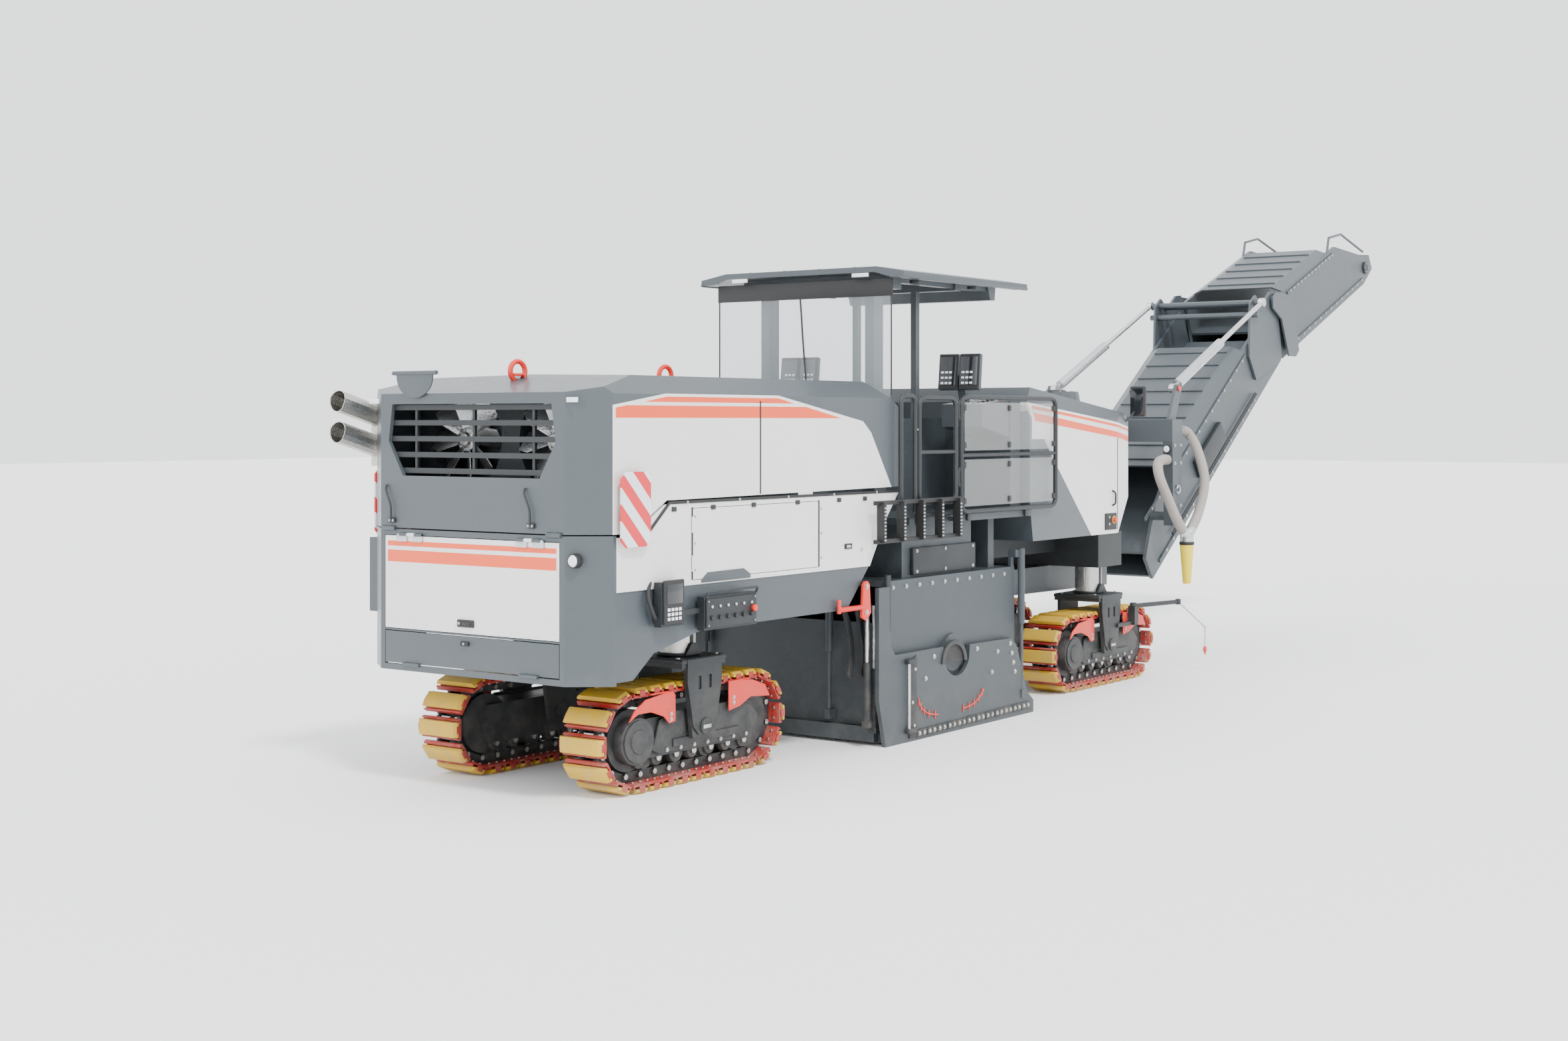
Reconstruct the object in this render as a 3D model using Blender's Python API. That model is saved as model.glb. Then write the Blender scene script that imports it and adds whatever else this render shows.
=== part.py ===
"""Cold planer milling machine on four crawler tracks.

Metres, +X forward (towards the conveyor tip), +Y left, +Z up. Stations along X are counted
from the rear crawlers' steering axis; the whole machine hangs on one empty that puts the
middle of its length over the world origin. Everything stands on Z = 0.
"""

import math

import bmesh
import bpy
from mathutils import Matrix, Vector

# ---- driving dimensions (metres, degrees) ----
ORIGIN_STATION = 6.65       # station that lies over the world origin
GAP = 0.0003                # between faces that touch
RUN = 0.006                 # running clearance between moving pieces
BODY_HALF = 1.25            # half width over the side panels
SKIN = 0.03                 # panel thickness

# crawlers
TRACK_LENGTH = 2.15
TRACK_HEIGHT = 0.79
TRACK_WIDTH = 0.44
TRACK_Y = 0.76              # crawler and column centre from the middle plane
FRONT_STATION = 6.46        # front steering axis
PAD_COUNT = 28
PAD_LENGTH = 0.125
WHEEL_SIDES = 20            # flats round an end wheel and the loop that lies on it
CHAIN_RADIUS = 0.27         # pitch line round the end wheels
CHAIN_INNER = 0.035         # pitch line to the inner face of the chain
SHOE_BACK = 0.075           # pitch line to the outer face of the shoe
COLUMN_RADIUS = 0.14
COLUMN_TOP = 1.56
YOKE_TOP = 0.96
YOKE_PLATE = 0.07
YOKE_LENGTH = 0.50
YOKE_LEG = 0.035
ARM_PIVOT = (6.90, -1.06, 0.80)      # sensor arm's upright pin on the front right crawler
PIN_Z = 0.43

# main frame
FRAME_BOTTOM = 1.25
FRAME_TOP = 1.62
BEAM_IN = 0.22
BEAM_OUT = 0.50
CROSS_HALF = 1.02           # half width of the two cross members that hold the columns
CROSS_LENGTH = 0.50
SLEEVE_WALL = 0.04
FRAME_REAR = -1.20
FRAME_FRONT = 6.80

# engine end
REAR_X = -1.43              # rear panel plane
REAR_HALF = 0.967           # half width of the rear face, before the corners turn away
CORNER_X = -1.23            # where the corners meet the side planes
POST_BOTTOM = 0.886
HOOD_SPLIT = 1.96           # hood pivot height and top of the fixed rear posts
HOOD_PIVOT_X = REAR_X - 0.004
HOOD_FRONT = 2.33
HOOD_TOP = 3.13
HOOD_SIDE_BOTTOM = 2.19
SHOULDER = 2.97             # where the side turns into the sloping shoulder
SHOULDER_IN = 0.16          # how far the shoulder leans in
PANEL_TOP = 2.16            # top of the lower white panels
PANEL_BOTTOM = 1.55
PANEL_FRONT = 1.86
SKIRT_BOTTOM = 1.206
DOOR_REAR = -0.39           # side service door
DOOR_FRONT = 1.165
DOOR_TOP = 1.905
DOOR_BOTTOM = 1.205
DOOR_HALF = 0.915
FLAP_TOP = 1.185
FAN_RADIUS = 0.37
FAN_Y = 0.48
FAN_Z = 2.63
COOLER_REAR = -1.02
ENGINE_SIZE = (1.65, 0.95, 1.05)
ENGINE_X = 1.05

# milling unit
DRUM_X = 3.17
DRUM_Z = 0.66
DRUM_RADIUS = 0.50
DRUM_LENGTH = 2.20
HOUSING_REAR = 2.12
HOUSING_FRONT = 4.20
HOUSING_INSET = 0.015       # housing's side wall inside the side panels
HOUSING_HALF = BODY_HALF - HOUSING_INSET
HOUSING_WALL = 0.05
HOUSING_BOTTOM = 0.42
HOUSING_TOP = 1.40
PLATE_CLEAR = 0.012         # side panels to the inner face of the sliding side plates
PLATE_IN = BODY_HALF + PLATE_CLEAR
PLATE_THICK = 0.04
PLATE_FRONT = 4.44
PLATE_TOP = 0.77
BLADE_THICK = 0.04

# operator platform
DECK_TOP = 1.93
DECK_THICK = 0.06
DECK_REAR = 2.40
DECK_FRONT = 4.44
RAIL_OUT = 0.05             # railing's centre line outside the side panels
RAIL_Y = BODY_HALF + RAIL_OUT
RAIL_TUBE = 0.022
RAIL_TOP = 2.99
GATE_REAR = 2.52
GATE_FRONT = 3.10
GLASS_REAR = 3.19
GLASS_FRONT = 4.86
LADDER_OUT = 0.05           # ladder's middle outside the railing's
LADDER_Y = RAIL_Y + LADDER_OUT
LADDER_REAR = 1.80
LADDER_FRONT = 3.08
LADDER_BOTTOM = 1.74
LADDER_TOP = 2.10
ROOF_REAR = 2.49
ROOF_FRONT = 4.56
ROOF_HALF = 1.16
ROOF_TOP = 4.14
MAST_X = 2.82
MAST_Y = 0.60
POST_X = 3.84
POST_Y = 0.345

# front body
NOSE_REAR = 4.46
NOSE_FRONT = 6.62
NOSE_BOTTOM = FRAME_TOP + GAP
NOSE_TOP_REAR = 3.10
NOSE_TOP_FRONT = 2.84
DUCT_HALF = 0.43            # half width of the loading conveyor's trunk

# conveyors
SLEW_X = 7.75
SWIVEL_BOTTOM = 2.54
SWIVEL_TOP = 2.79
POST_OUT = 0.94
POST_IN = 0.82
LIFT_X = 8.17
LIFT_Z = 1.70
LOWER_ANGLE = 36.0
UPPER_ANGLE = 22.0
LOWER_START = -0.43
LOWER_END = 3.96
BELT_HALF = 0.60
WALL = 0.04
LOWER_UNDER = -0.57
LOWER_COVER = 0.18
COVER_SHORT = 0.91          # cover stops this far short of the lower conveyor's end
FOLD_AHEAD = 0.14           # fold pin beyond the lower conveyor's end
FOLD_U = LOWER_END + FOLD_AHEAD
FOLD_N = 0.26
UPPER_LENGTH = 3.50
UPPER_UNDER = -0.84
UPPER_COVER = -0.03
CYL_Y = 0.78
CYL_FOOT = (8.38, 3.145)
CYL_EYE_BACK = 0.33         # cylinder eye behind the lower conveyor's end
CYL_EYE_U = LOWER_END - CYL_EYE_BACK
CYL_EYE_N = 0.517
EYE_HALF = 0.032            # half width of the cylinders' eyes
BARREL_LENGTH = 1.35
BARREL_RADIUS = 0.058
ROD_RADIUS = 0.030

COLOURS = {
    "grey": ((0.105, 0.125, 0.140), 0.42, 0.10),
    "white": ((0.780, 0.770, 0.750), 0.35, 0.0),
    "dark": ((0.045, 0.050, 0.055), 0.50, 0.20),
    "steel": ((0.560, 0.560, 0.540), 0.28, 1.0),
    "silver": ((0.620, 0.630, 0.640), 0.35, 0.9),
    "yellow": ((0.720, 0.480, 0.030), 0.60, 0.0),
    "hose": ((0.380, 0.350, 0.330), 0.65, 0.0),
}

for old in list(bpy.data.objects):
    bpy.data.objects.remove(old, do_unlink=True)


# ---- small tools ----
def make_material(name):
    colour, rough, metal = COLOURS[name]
    material = bpy.data.materials.new(name)
    material.use_nodes = True
    shader = material.node_tree.nodes["Principled BSDF"]
    shader.inputs["Base Color"].default_value = (*colour, 1.0)
    shader.inputs["Roughness"].default_value = rough
    shader.inputs["Metallic"].default_value = metal
    return material


MATERIALS = {name: make_material(name) for name in COLOURS}

machine = bpy.data.objects.new("machine", None)
machine.location = (-ORIGIN_STATION, 0.0, 0.0)
bpy.context.scene.collection.objects.link(machine)


def solid(shape, name="solid"):
    """An object from a bmesh, with its faces turned outwards."""
    bmesh.ops.recalc_face_normals(shape, faces=shape.faces)
    mesh = bpy.data.meshes.new(name)
    shape.to_mesh(mesh)
    shape.free()
    piece = bpy.data.objects.new(name, mesh)
    bpy.context.scene.collection.objects.link(piece)
    return piece


def prism(outline, axis, low, high):
    """A flat outline drawn out along an axis. The outline's two numbers are XZ, YZ or XY."""
    place = {
        "Y": lambda a, b, c: (a, c, b),
        "X": lambda a, b, c: (c, a, b),
        "Z": lambda a, b, c: (a, b, c),
    }[axis]
    shape = bmesh.new()
    face = shape.faces.new([shape.verts.new(place(a, b, low)) for a, b in outline])
    drawn = bmesh.ops.extrude_face_region(shape, geom=[face])
    step = Vector(place(0.0, 0.0, high - low))
    bmesh.ops.translate(
        shape, vec=step, verts=[v for v in drawn["geom"] if isinstance(v, bmesh.types.BMVert)]
    )
    return solid(shape)


def box(x, y, z):
    return prism([(x[0], y[0]), (x[1], y[0]), (x[1], y[1]), (x[0], y[1])], "Z", z[0], z[1])


def rod(start, end, radius, sides=12, end_radius=None):
    """A round bar between two points."""
    start, end = Vector(start), Vector(end)
    along = end - start
    shape = bmesh.new()
    bmesh.ops.create_cone(
        shape, cap_ends=True, segments=sides, radius1=radius,
        radius2=radius if end_radius is None else end_radius, depth=along.length,
    )
    turn = along.to_track_quat("Z", "Y").to_matrix().to_4x4()
    bmesh.ops.transform(shape, matrix=Matrix.Translation((start + end) / 2) @ turn, verts=shape.verts)
    return solid(shape)


def disc(centre, axis, radius, width, sides=24):
    """A round plate centred on a point, its axis along X, Y or Z."""
    step = Vector({"X": (1, 0, 0), "Y": (0, 1, 0), "Z": (0, 0, 1)}[axis]) * (width / 2)
    return rod(Vector(centre) - step, Vector(centre) + step, radius, sides)


def combine(base, others, operation):
    """Boolean of a piece with others, which are used up."""
    for other in others:
        change = base.modifiers.new("combine", "BOOLEAN")
        change.operation = operation
        change.solver = "EXACT"
        change.object = other
        done = bpy.data.meshes.new_from_object(base.evaluated_get(bpy.context.evaluated_depsgraph_get()))
        base.modifiers.clear()
        base.data = done
        bpy.data.objects.remove(other, do_unlink=True)
    return base


def fuse(pieces):
    return combine(pieces[0], pieces[1:], "UNION")


def cut(piece, cutters):
    return combine(piece, cutters, "DIFFERENCE")


def turned(point, angle, centre=(0.0, 0.0)):
    """A point of the XZ plane turned about a centre, counting from +X up towards +Z."""
    c, s = math.cos(math.radians(angle)), math.sin(math.radians(angle))
    return (centre[0] + c * point[0] - s * point[1], centre[1] + s * point[0] + c * point[1])


pivots = {}


def pivot(name, point):
    """An empty on a joint's axis, which the pieces of one moving body hang on."""
    holder = bpy.data.objects.new(name + "_pivot", None)
    holder.parent = machine
    holder.location = point
    bpy.context.scene.collection.objects.link(holder)
    pivots[name] = holder


def name_part(piece, name, colour, body=None):
    """Name a finished piece, give it its material and hang it on its body's pivot."""
    piece.name = name
    piece.data.name = name
    piece.data.materials.clear()
    piece.data.materials.append(MATERIALS[colour])
    piece.data.shade_smooth()
    piece.data.set_sharp_from_angle(angle=math.radians(35))
    holder = pivots[body] if body else machine
    piece.parent = holder
    if body:
        piece.data.transform(Matrix.Translation(-Vector(holder.location)))
    return piece


# ---- crawlers ----
def track_point(along):
    """Place, direction and outward normal on the chain's pitch line, from its lowest middle."""
    half = (TRACK_LENGTH - TRACK_HEIGHT) / 2
    arc = math.pi * CHAIN_RADIUS
    middle = TRACK_HEIGHT / 2
    along %= 4 * half + 2 * arc
    if along < half:
        return Vector((along, middle - CHAIN_RADIUS)), Vector((0, -1)), False
    along -= half
    if along < arc:
        turn = -math.pi / 2 + along / CHAIN_RADIUS
        out = Vector((math.cos(turn), math.sin(turn)))
        return Vector((half, middle)) + out * CHAIN_RADIUS, out, True
    along -= arc
    if along < 2 * half:
        return Vector((half - along, middle + CHAIN_RADIUS)), Vector((0, 1)), False
    along -= 2 * half
    if along < arc:
        turn = math.pi / 2 + along / CHAIN_RADIUS
        out = Vector((math.cos(turn), math.sin(turn)))
        return Vector((-half, middle)) + out * CHAIN_RADIUS, out, True
    along -= arc
    return Vector((-half + along, middle - CHAIN_RADIUS)), Vector((0, -1)), False


def track_loop(x, y):
    """One closed loop with its shoes in the outline."""
    length = 2 * (TRACK_LENGTH - TRACK_HEIGHT) + 2 * math.pi * CHAIN_RADIUS
    outer = []
    inner = []
    pad_top = TRACK_HEIGHT / 2 - CHAIN_RADIUS
    for number in range(PAD_COUNT):
        place, out, on_arc = track_point(number * length / PAD_COUNT)
        ahead = Vector((-out.y, out.x))
        top = pad_top
        if on_arc:
            reach = CHAIN_RADIUS + pad_top
            top = math.sqrt(reach ** 2 - (PAD_LENGTH / 2) ** 2) - CHAIN_RADIUS
        for step, height in ((-0.5, SHOE_BACK), (-0.5, top), (0.5, top), (0.5, SHOE_BACK)):
            point = place + out * height + ahead * (step * PAD_LENGTH)
            outer.append((x + point.x, point.y))
    steps = WHEEL_SIDES // 2
    half = (TRACK_LENGTH - TRACK_HEIGHT) / 2
    inner_radius = CHAIN_RADIUS - CHAIN_INNER
    for side in (1, -1):
        for step in range(steps + 1):
            turn = (-0.5 + step / steps) * math.pi + (0 if side > 0 else math.pi)
            inner.append((x + side * half + inner_radius * math.cos(turn),
                          TRACK_HEIGHT / 2 + inner_radius * math.sin(turn)))
    low, high = y - TRACK_WIDTH / 2, y + TRACK_WIDTH / 2
    return cut(prism(outer, "Y", low, high), [prism(inner, "Y", low - 0.1, high + 0.1)])


def crawler_frame(x, side, front):
    """Side frame with wheels, yoke over the track and the steering column, in one piece."""
    y = side * TRACK_Y
    middle = TRACK_HEIGHT / 2
    half = (TRACK_LENGTH - TRACK_HEIGHT) / 2
    inner_radius = CHAIN_RADIUS - CHAIN_INNER
    end_wheel = inner_radius - GAP
    leg_gap = 0.012
    outer_leg = (TRACK_WIDTH / 2 + leg_gap, TRACK_WIDTH / 2 + leg_gap + YOKE_LEG)
    pieces = [prism([(x - half, middle - 0.15), (x + half, middle - 0.15), (x + half + 0.05, middle),
                     (x + half, middle + 0.15), (x - half, middle + 0.15), (x - half - 0.05, middle)],
                    "Y", y - 0.17, y + 0.17)]
    for place in (x - half, x + half):
        pieces.append(disc((place, y, middle), "Y", end_wheel, 0.24, WHEEL_SIDES))
    roller = 0.085
    count = 4
    for number in range(count):
        place = x - half + 0.16 + number * (2 * half - 0.32) / (count - 1)
        pieces.append(disc((place, y, middle - inner_radius + roller + GAP), "Y", roller, 0.26, 10))
    pieces.append(disc((x - half, y + side * 0.13, middle), "Y", 0.16, 0.20, 16))
    # yoke: top plate, two legs and the pin through the side frame
    pieces.append(box((x - YOKE_LENGTH / 2, x + YOKE_LENGTH / 2), (y - outer_leg[1], y + outer_leg[1]),
                      (YOKE_TOP - YOKE_PLATE, YOKE_TOP)))
    for hand in (1, -1):
        low, high = sorted((y + hand * outer_leg[0], y + hand * outer_leg[1]))
        top, bottom = 0.19, 0.13
        pieces.append(prism([(x - top, YOKE_TOP - 0.02), (x - top, YOKE_TOP - 0.2), (x - bottom, PIN_Z - 0.08),
                             (x + bottom, PIN_Z - 0.08), (x + top, YOKE_TOP - 0.2), (x + top, YOKE_TOP - 0.02)],
                            "Y", low, high))
    pieces.append(disc((x, y, PIN_Z), "Y", 0.06, 2 * outer_leg[1] + 0.02, 10))
    if front and side < 0:
        foot = ARM_PIVOT
        pieces.append(box((x + 0.10, foot[0] + 0.04), (y - outer_leg[1] - 0.04, y - outer_leg[1] + 0.02), (0.60, 0.64)))
        pieces.append(box((foot[0] - 0.04, foot[0] + 0.04), (foot[1] - 0.04, foot[1] + 0.04), (0.60, foot[2])))
    pieces.append(rod((x, y, YOKE_TOP - 0.03), (x, y, COLUMN_TOP), COLUMN_RADIUS, 20))
    return fuse(pieces)


for end, station in (("rear", 0.0), ("front", FRONT_STATION)):
    for hand, side in (("right", -1), ("left", 1)):
        body = f"crawler_{end}_{hand}"
        pivot(body, (station, side * TRACK_Y, 0.0))
        name_part(track_loop(station, side * TRACK_Y), f"track_{end}_{hand}", "yellow", body)
        name_part(crawler_frame(station, side, end == "front"), f"crawler_frame_{end}_{hand}", "dark", body)


# ---- main frame ----
def main_frame():
    """Two long beams, two cross members with the column sleeves, side skirts."""
    pieces = []
    for side in (1, -1):
        low, high = sorted((side * BEAM_IN, side * BEAM_OUT))
        pieces.append(box((FRAME_REAR, FRAME_FRONT), (low, high), (HOUSING_TOP + GAP, FRAME_TOP)))
    for station in (0.0, FRONT_STATION):
        pieces.append(box((station - CROSS_LENGTH / 2, station + CROSS_LENGTH / 2),
                          (-CROSS_HALF, CROSS_HALF), (FRAME_BOTTOM, FRAME_TOP - 0.01)))
        for side in (1, -1):
            pieces.append(rod((station, side * TRACK_Y, FRAME_BOTTOM + 0.02), (station, side * TRACK_Y, FRAME_TOP - 0.02),
                              COLUMN_RADIUS + RUN + SLEEVE_WALL, 16))
    pieces.append(box((FRAME_REAR - 0.02, FRAME_REAR + 0.1), (-BEAM_OUT - 0.02, BEAM_OUT + 0.02),
                      (HOUSING_TOP + 0.03, FRAME_TOP - 0.01)))
    frame = fuse(pieces)
    bores = []
    for station in (0.0, FRONT_STATION):
        for side in (1, -1):
            bores.append(rod((station, side * TRACK_Y, FRAME_BOTTOM - 0.1),
                             (station, side * TRACK_Y, COLUMN_TOP + GAP), COLUMN_RADIUS + RUN, 20))
    return cut(frame, bores)


name_part(main_frame(), "main_frame", "dark")


# ---- engine end ----
def side_outline():
    """Hood side in XZ, from its lower rear corner round to the front."""
    return [(REAR_X, HOOD_SPLIT + 0.005), (-1.05, HOOD_SPLIT + 0.005), (-0.67, HOOD_SIDE_BOTTOM),
            (HOOD_FRONT, HOOD_SIDE_BOTTOM + 0.02), (HOOD_FRONT + 0.01, 2.85), (1.95, HOOD_TOP), (-0.80, HOOD_TOP),
            (REAR_X, 2.98)]


def cross_outline(inset):
    """Hood across the machine in YZ: upright sides, leaning shoulders, nearly flat top."""
    half, top = BODY_HALF - inset, HOOD_TOP - inset
    lean = half - SHOULDER_IN
    return [(-half, 1.0), (half, 1.0), (half, SHOULDER), (lean, top - 0.02), (0.0, top), (-lean, top - 0.02),
            (-half, SHOULDER)]


def plan_outline(inset):
    """Hood seen from above in XY: rear corners turned away."""
    half = BODY_HALF - inset
    rear = REAR_X + inset
    return [(rear, -REAR_HALF + inset), (CORNER_X + inset, -half), (4.0, -half), (4.0, half), (CORNER_X + inset, half),
            (rear, REAR_HALF - inset)]


def block_between(outline_side, inset, low=0.5, high=3.5):
    """The body's outer form, cut from its side, cross and plan outlines."""
    piece = prism(outline_side, "Y", -1.6, 1.6)
    across = prism(cross_outline(inset), "X", -3.0, 6.0)
    above = prism(plan_outline(inset), "Z", low, high)
    return combine(piece, [across, above], "INTERSECT")


def inset_outline(points, inset):
    """The hood's side outline moved in at the rear, top and front, and run out below."""
    (rear, _), _, _, (front, low), (front_top, z1), (top_front, z2), (top_rear, z3), (rear_top, z4) = points
    return [(rear + inset, 1.5), (front - inset, 1.5), (front - inset, low), (front_top - inset, z1 - inset * 0.4),
            (top_front - inset * 0.5, z2 - inset), (top_rear + inset * 0.5, z3 - inset), (rear_top + inset, z4 - inset)]


def hood_shell():
    """Tilting engine cover: rear surround with its grille opening, shoulders, top and front zone."""
    sides = side_outline()
    shell = block_between(sides, 0.0)
    hollow = block_between(inset_outline(sides, SKIN), SKIN)
    cutters = [hollow]
    # the white side panels sit in these two openings
    for side in (1, -1):
        cutters.append(side_window(side, 0.0))
    # six-sided rear opening for the fans
    cutters.append(prism([(-0.72, 2.36), (0.72, 2.36), (0.88, 2.62), (0.84, 2.90), (-0.84, 2.90), (-0.88, 2.62)],
                         "X", REAR_X - 0.2, REAR_X + 0.25))
    return cut(shell, cutters)


def side_window(side, shrink):
    """The hood side panel's own volume, or the opening for it."""
    low, high = sorted((side * (BODY_HALF - SKIN - 0.05), side * (BODY_HALF + 0.05)))
    if shrink:
        low, high = sorted((side * (BODY_HALF - SKIN + 0.002), side * BODY_HALF))
    s = shrink
    return prism([(-1.02 + s, HOOD_SPLIT + 0.05 + s), (-0.69 + s * 0.6, HOOD_SIDE_BOTTOM + 0.035 + s),
                  (2.14 - s, HOOD_SIDE_BOTTOM + 0.035 + s), (1.62 - s, 2.80 - s), (1.25 - s, 2.935 - s),
                  (-1.02 + s, 2.935 - s)], "Y", low, high)


def hood_side(side):
    """White side panel of the hood, with a lip behind the edge that holds it."""
    return side_window(side, GAP)


pivot("engine_hood", (HOOD_PIVOT_X, 0.0, HOOD_SPLIT))
for hand, side in (("right", -1), ("left", 1)):
    name_part(hood_side(side), f"hood_side_{hand}", "white", "engine_hood")


def span(side, inner, outer):
    """The Y range between two distances from the middle plane, on one side."""
    return tuple(sorted((side * inner, side * outer)))


def hinge(fixed, moving, start, end, radius):
    """Three knuckles on one axis: the middle one on the moving piece, the outer two on the fixed."""
    start, end = Vector(start), Vector(end)
    step = (end - start) / 3
    along = step.normalized()
    room = along * 0.004
    marks = [start, start + step, start + 2 * step, end]
    moving = cut(moving, [rod(marks[0] - room, marks[1] + room / 2, radius + RUN / 2, 10),
                          rod(marks[2] - room / 2, marks[3] + room, radius + RUN / 2, 10)])
    fixed = cut(fixed, [rod(marks[1] - room / 2, marks[2] + room / 2, radius + RUN / 2, 10)])
    slack = along * GAP
    moving = fuse([moving, rod(marks[1] + slack, marks[2] - slack, radius, 10)])
    fixed = fuse([fixed, rod(marks[0], marks[1], radius, 10), rod(marks[2], marks[3], radius, 10)])
    return fixed, moving


def tube_path(points, radius, sides=8):
    """A round hose through points, as a curve with filled ends made into a mesh."""
    curve = bpy.data.curves.new("hose", "CURVE")
    curve.dimensions = "3D"
    curve.bevel_depth = radius
    curve.bevel_resolution = (sides - 4) // 2
    curve.use_fill_caps = True
    line = curve.splines.new("POLY")
    line.points.add(len(points) - 1)
    for place, point in zip(line.points, points):
        place.co = (*point, 1.0)
    holder = bpy.data.objects.new("hose", curve)
    bpy.context.scene.collection.objects.link(holder)
    mesh = bpy.data.meshes.new_from_object(holder.evaluated_get(bpy.context.evaluated_depsgraph_get()))
    bpy.data.objects.remove(holder, do_unlink=True)
    shape = bmesh.new()
    shape.from_mesh(mesh)
    bmesh.ops.remove_doubles(shape, verts=shape.verts, dist=0.0001)
    return solid(shape)


def smooth_route(points, count):
    """Points read from a Catmull-Rom curve through the route's own points."""
    points = [Vector(p) for p in points]
    ends = [2 * points[0] - points[1], *points, 2 * points[-1] - points[-2]]
    route = []
    parts = len(points) - 1
    for step in range(count + 1):
        at = step / count * parts
        k = min(int(at), parts - 1)
        t = at - k
        a, b, c, d = ends[k:k + 4]
        route.append(0.5 * ((2 * b) + (c - a) * t + (2 * a - 5 * b + 4 * c - d) * t ** 2
                            + (3 * b - a - 3 * c + d) * t ** 3))
    return route


# grille of flat slats behind the rear opening
def fan_grille():
    low = REAR_X + SKIN + GAP
    pieces = [box((low, low + 0.025), (-0.90, 0.90), (z - 0.02, z + 0.02)) for z in (2.40, 2.52, 2.64, 2.76, 2.875)]
    for y in (-0.62, 0.0, 0.62):
        pieces.append(box((low + 0.012, low + 0.035), (y - 0.012, y + 0.012), (2.385, 2.89)))
    return fuse(pieces)


def exhaust():
    """Housing on the hood's left flank with two tail pipes pointing back."""
    low, high = BODY_HALF + GAP, BODY_HALF + 0.20
    housing = prism([(-1.17, low), (-0.25, low), (-0.25, high - 0.06), (-0.33, high), (-1.09, high), (-1.17, high - 0.06)],
                    "Z", 2.42, 2.94)
    pipes = []
    bores = []
    for z in (2.56, 2.80):
        start, end = (-1.10, high - 0.095, z), (-1.56, high - 0.135, z + 0.13)
        pipes.append(rod(start, end, 0.085, 14))
        ahead = Vector(end) - Vector(start)
        bores.append(rod(Vector(start) + ahead * 0.4, Vector(end) + ahead * 0.1, 0.079, 14))
    piece = fuse([housing, *pipes])
    return cut(piece, [*bores, box((-1.9, -1.56), (1.0, 1.6), (2.3, 3.4))])


name_part(fan_grille(), "fan_grille", "dark", "engine_hood")
name_part(exhaust(), "exhaust_pipes", "steel", "engine_hood")


# ---- fixed rear end ----
def rear_posts():
    """Lower rear corners with the frame round the rear door and flap."""
    top = HOOD_SPLIT - 0.005
    outer = prism([(REAR_X, -REAR_HALF), (CORNER_X, -BODY_HALF), (FRAME_REAR, -BODY_HALF), (FRAME_REAR, BODY_HALF),
                   (CORNER_X, BODY_HALF), (REAR_X, REAR_HALF)], "Z", POST_BOTTOM, top)
    t = SKIN
    inner = prism([(REAR_X + t, -REAR_HALF + t * 0.6), (CORNER_X + t, -BODY_HALF + t), (0.0, -BODY_HALF + t),
                   (0.0, BODY_HALF - t), (CORNER_X + t, BODY_HALF - t), (REAR_X + t, REAR_HALF - t * 0.6)],
                  "Z", POST_BOTTOM - 0.1, top + 0.1)
    edge = DOOR_HALF + RUN
    ways = [box((REAR_X - 0.1, REAR_X + t + 0.02), (-edge, edge), (DOOR_BOTTOM - 0.005, DOOR_TOP + 0.006)),
            box((REAR_X - 0.1, REAR_X + t + 0.02), (-edge, edge), (POST_BOTTOM + 0.045, FLAP_TOP + 0.004))]
    shell = cut(outer, [inner, *ways])
    rails = []
    for side in (1, -1):
        # brackets that reach back to the main frame's end
        rails.append(box((REAR_X + 0.004, FRAME_REAR - 0.02 - GAP), span(side, 0.30, 0.36), (DOOR_BOTTOM - 0.019, DOOR_BOTTOM - 0.006)))
    cross = box((REAR_X + 0.004, REAR_X + t), (-edge - 0.02, edge + 0.02), (DOOR_BOTTOM - 0.018, DOOR_BOTTOM - 0.006))
    stand = [box((FRAME_REAR - 0.06, FRAME_REAR - 0.02 - GAP), span(side, 0.30, 0.36), (DOOR_BOTTOM - 0.02, FRAME_TOP))
             for side in (1, -1)]
    return fuse([shell, cross, *rails, *stand])


DOOR_AXIS = (REAR_X - 0.008, 0.0, DOOR_TOP + 0.010)
FLAP_AXIS = (REAR_X - 0.008, 0.0, POST_BOTTOM + 0.050)
pivot("rear_door", DOOR_AXIS)
pivot("rear_flap", FLAP_AXIS)
posts, hood = rear_posts(), hood_shell()
for start, end in ((-0.94, -0.80), (0.80, 0.94)):
    posts, hood = hinge(posts, hood, (HOOD_PIVOT_X, start, HOOD_SPLIT), (HOOD_PIVOT_X, end, HOOD_SPLIT), 0.018)
name_part(hood, "hood_shell", "grey", "engine_hood")
door = box((REAR_X, REAR_X + 0.025), (-DOOR_HALF, DOOR_HALF), (DOOR_BOTTOM, DOOR_TOP))
flap = box((REAR_X, REAR_X + 0.025), (-DOOR_HALF, DOOR_HALF), (POST_BOTTOM + 0.055, FLAP_TOP - 0.004))
for y in (-0.62, 0.62):
    posts, door = hinge(posts, door, (DOOR_AXIS[0], y - 0.12, DOOR_AXIS[2]), (DOOR_AXIS[0], y + 0.12, DOOR_AXIS[2]), 0.014)
    posts, flap = hinge(posts, flap, (FLAP_AXIS[0], y - 0.09, FLAP_AXIS[2]), (FLAP_AXIS[0], y + 0.09, FLAP_AXIS[2]), 0.014)
name_part(posts, "rear_posts", "grey")
name_part(door, "rear_door", "white", "rear_door")
name_part(flap, "rear_flap", "grey", "rear_flap")


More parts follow.
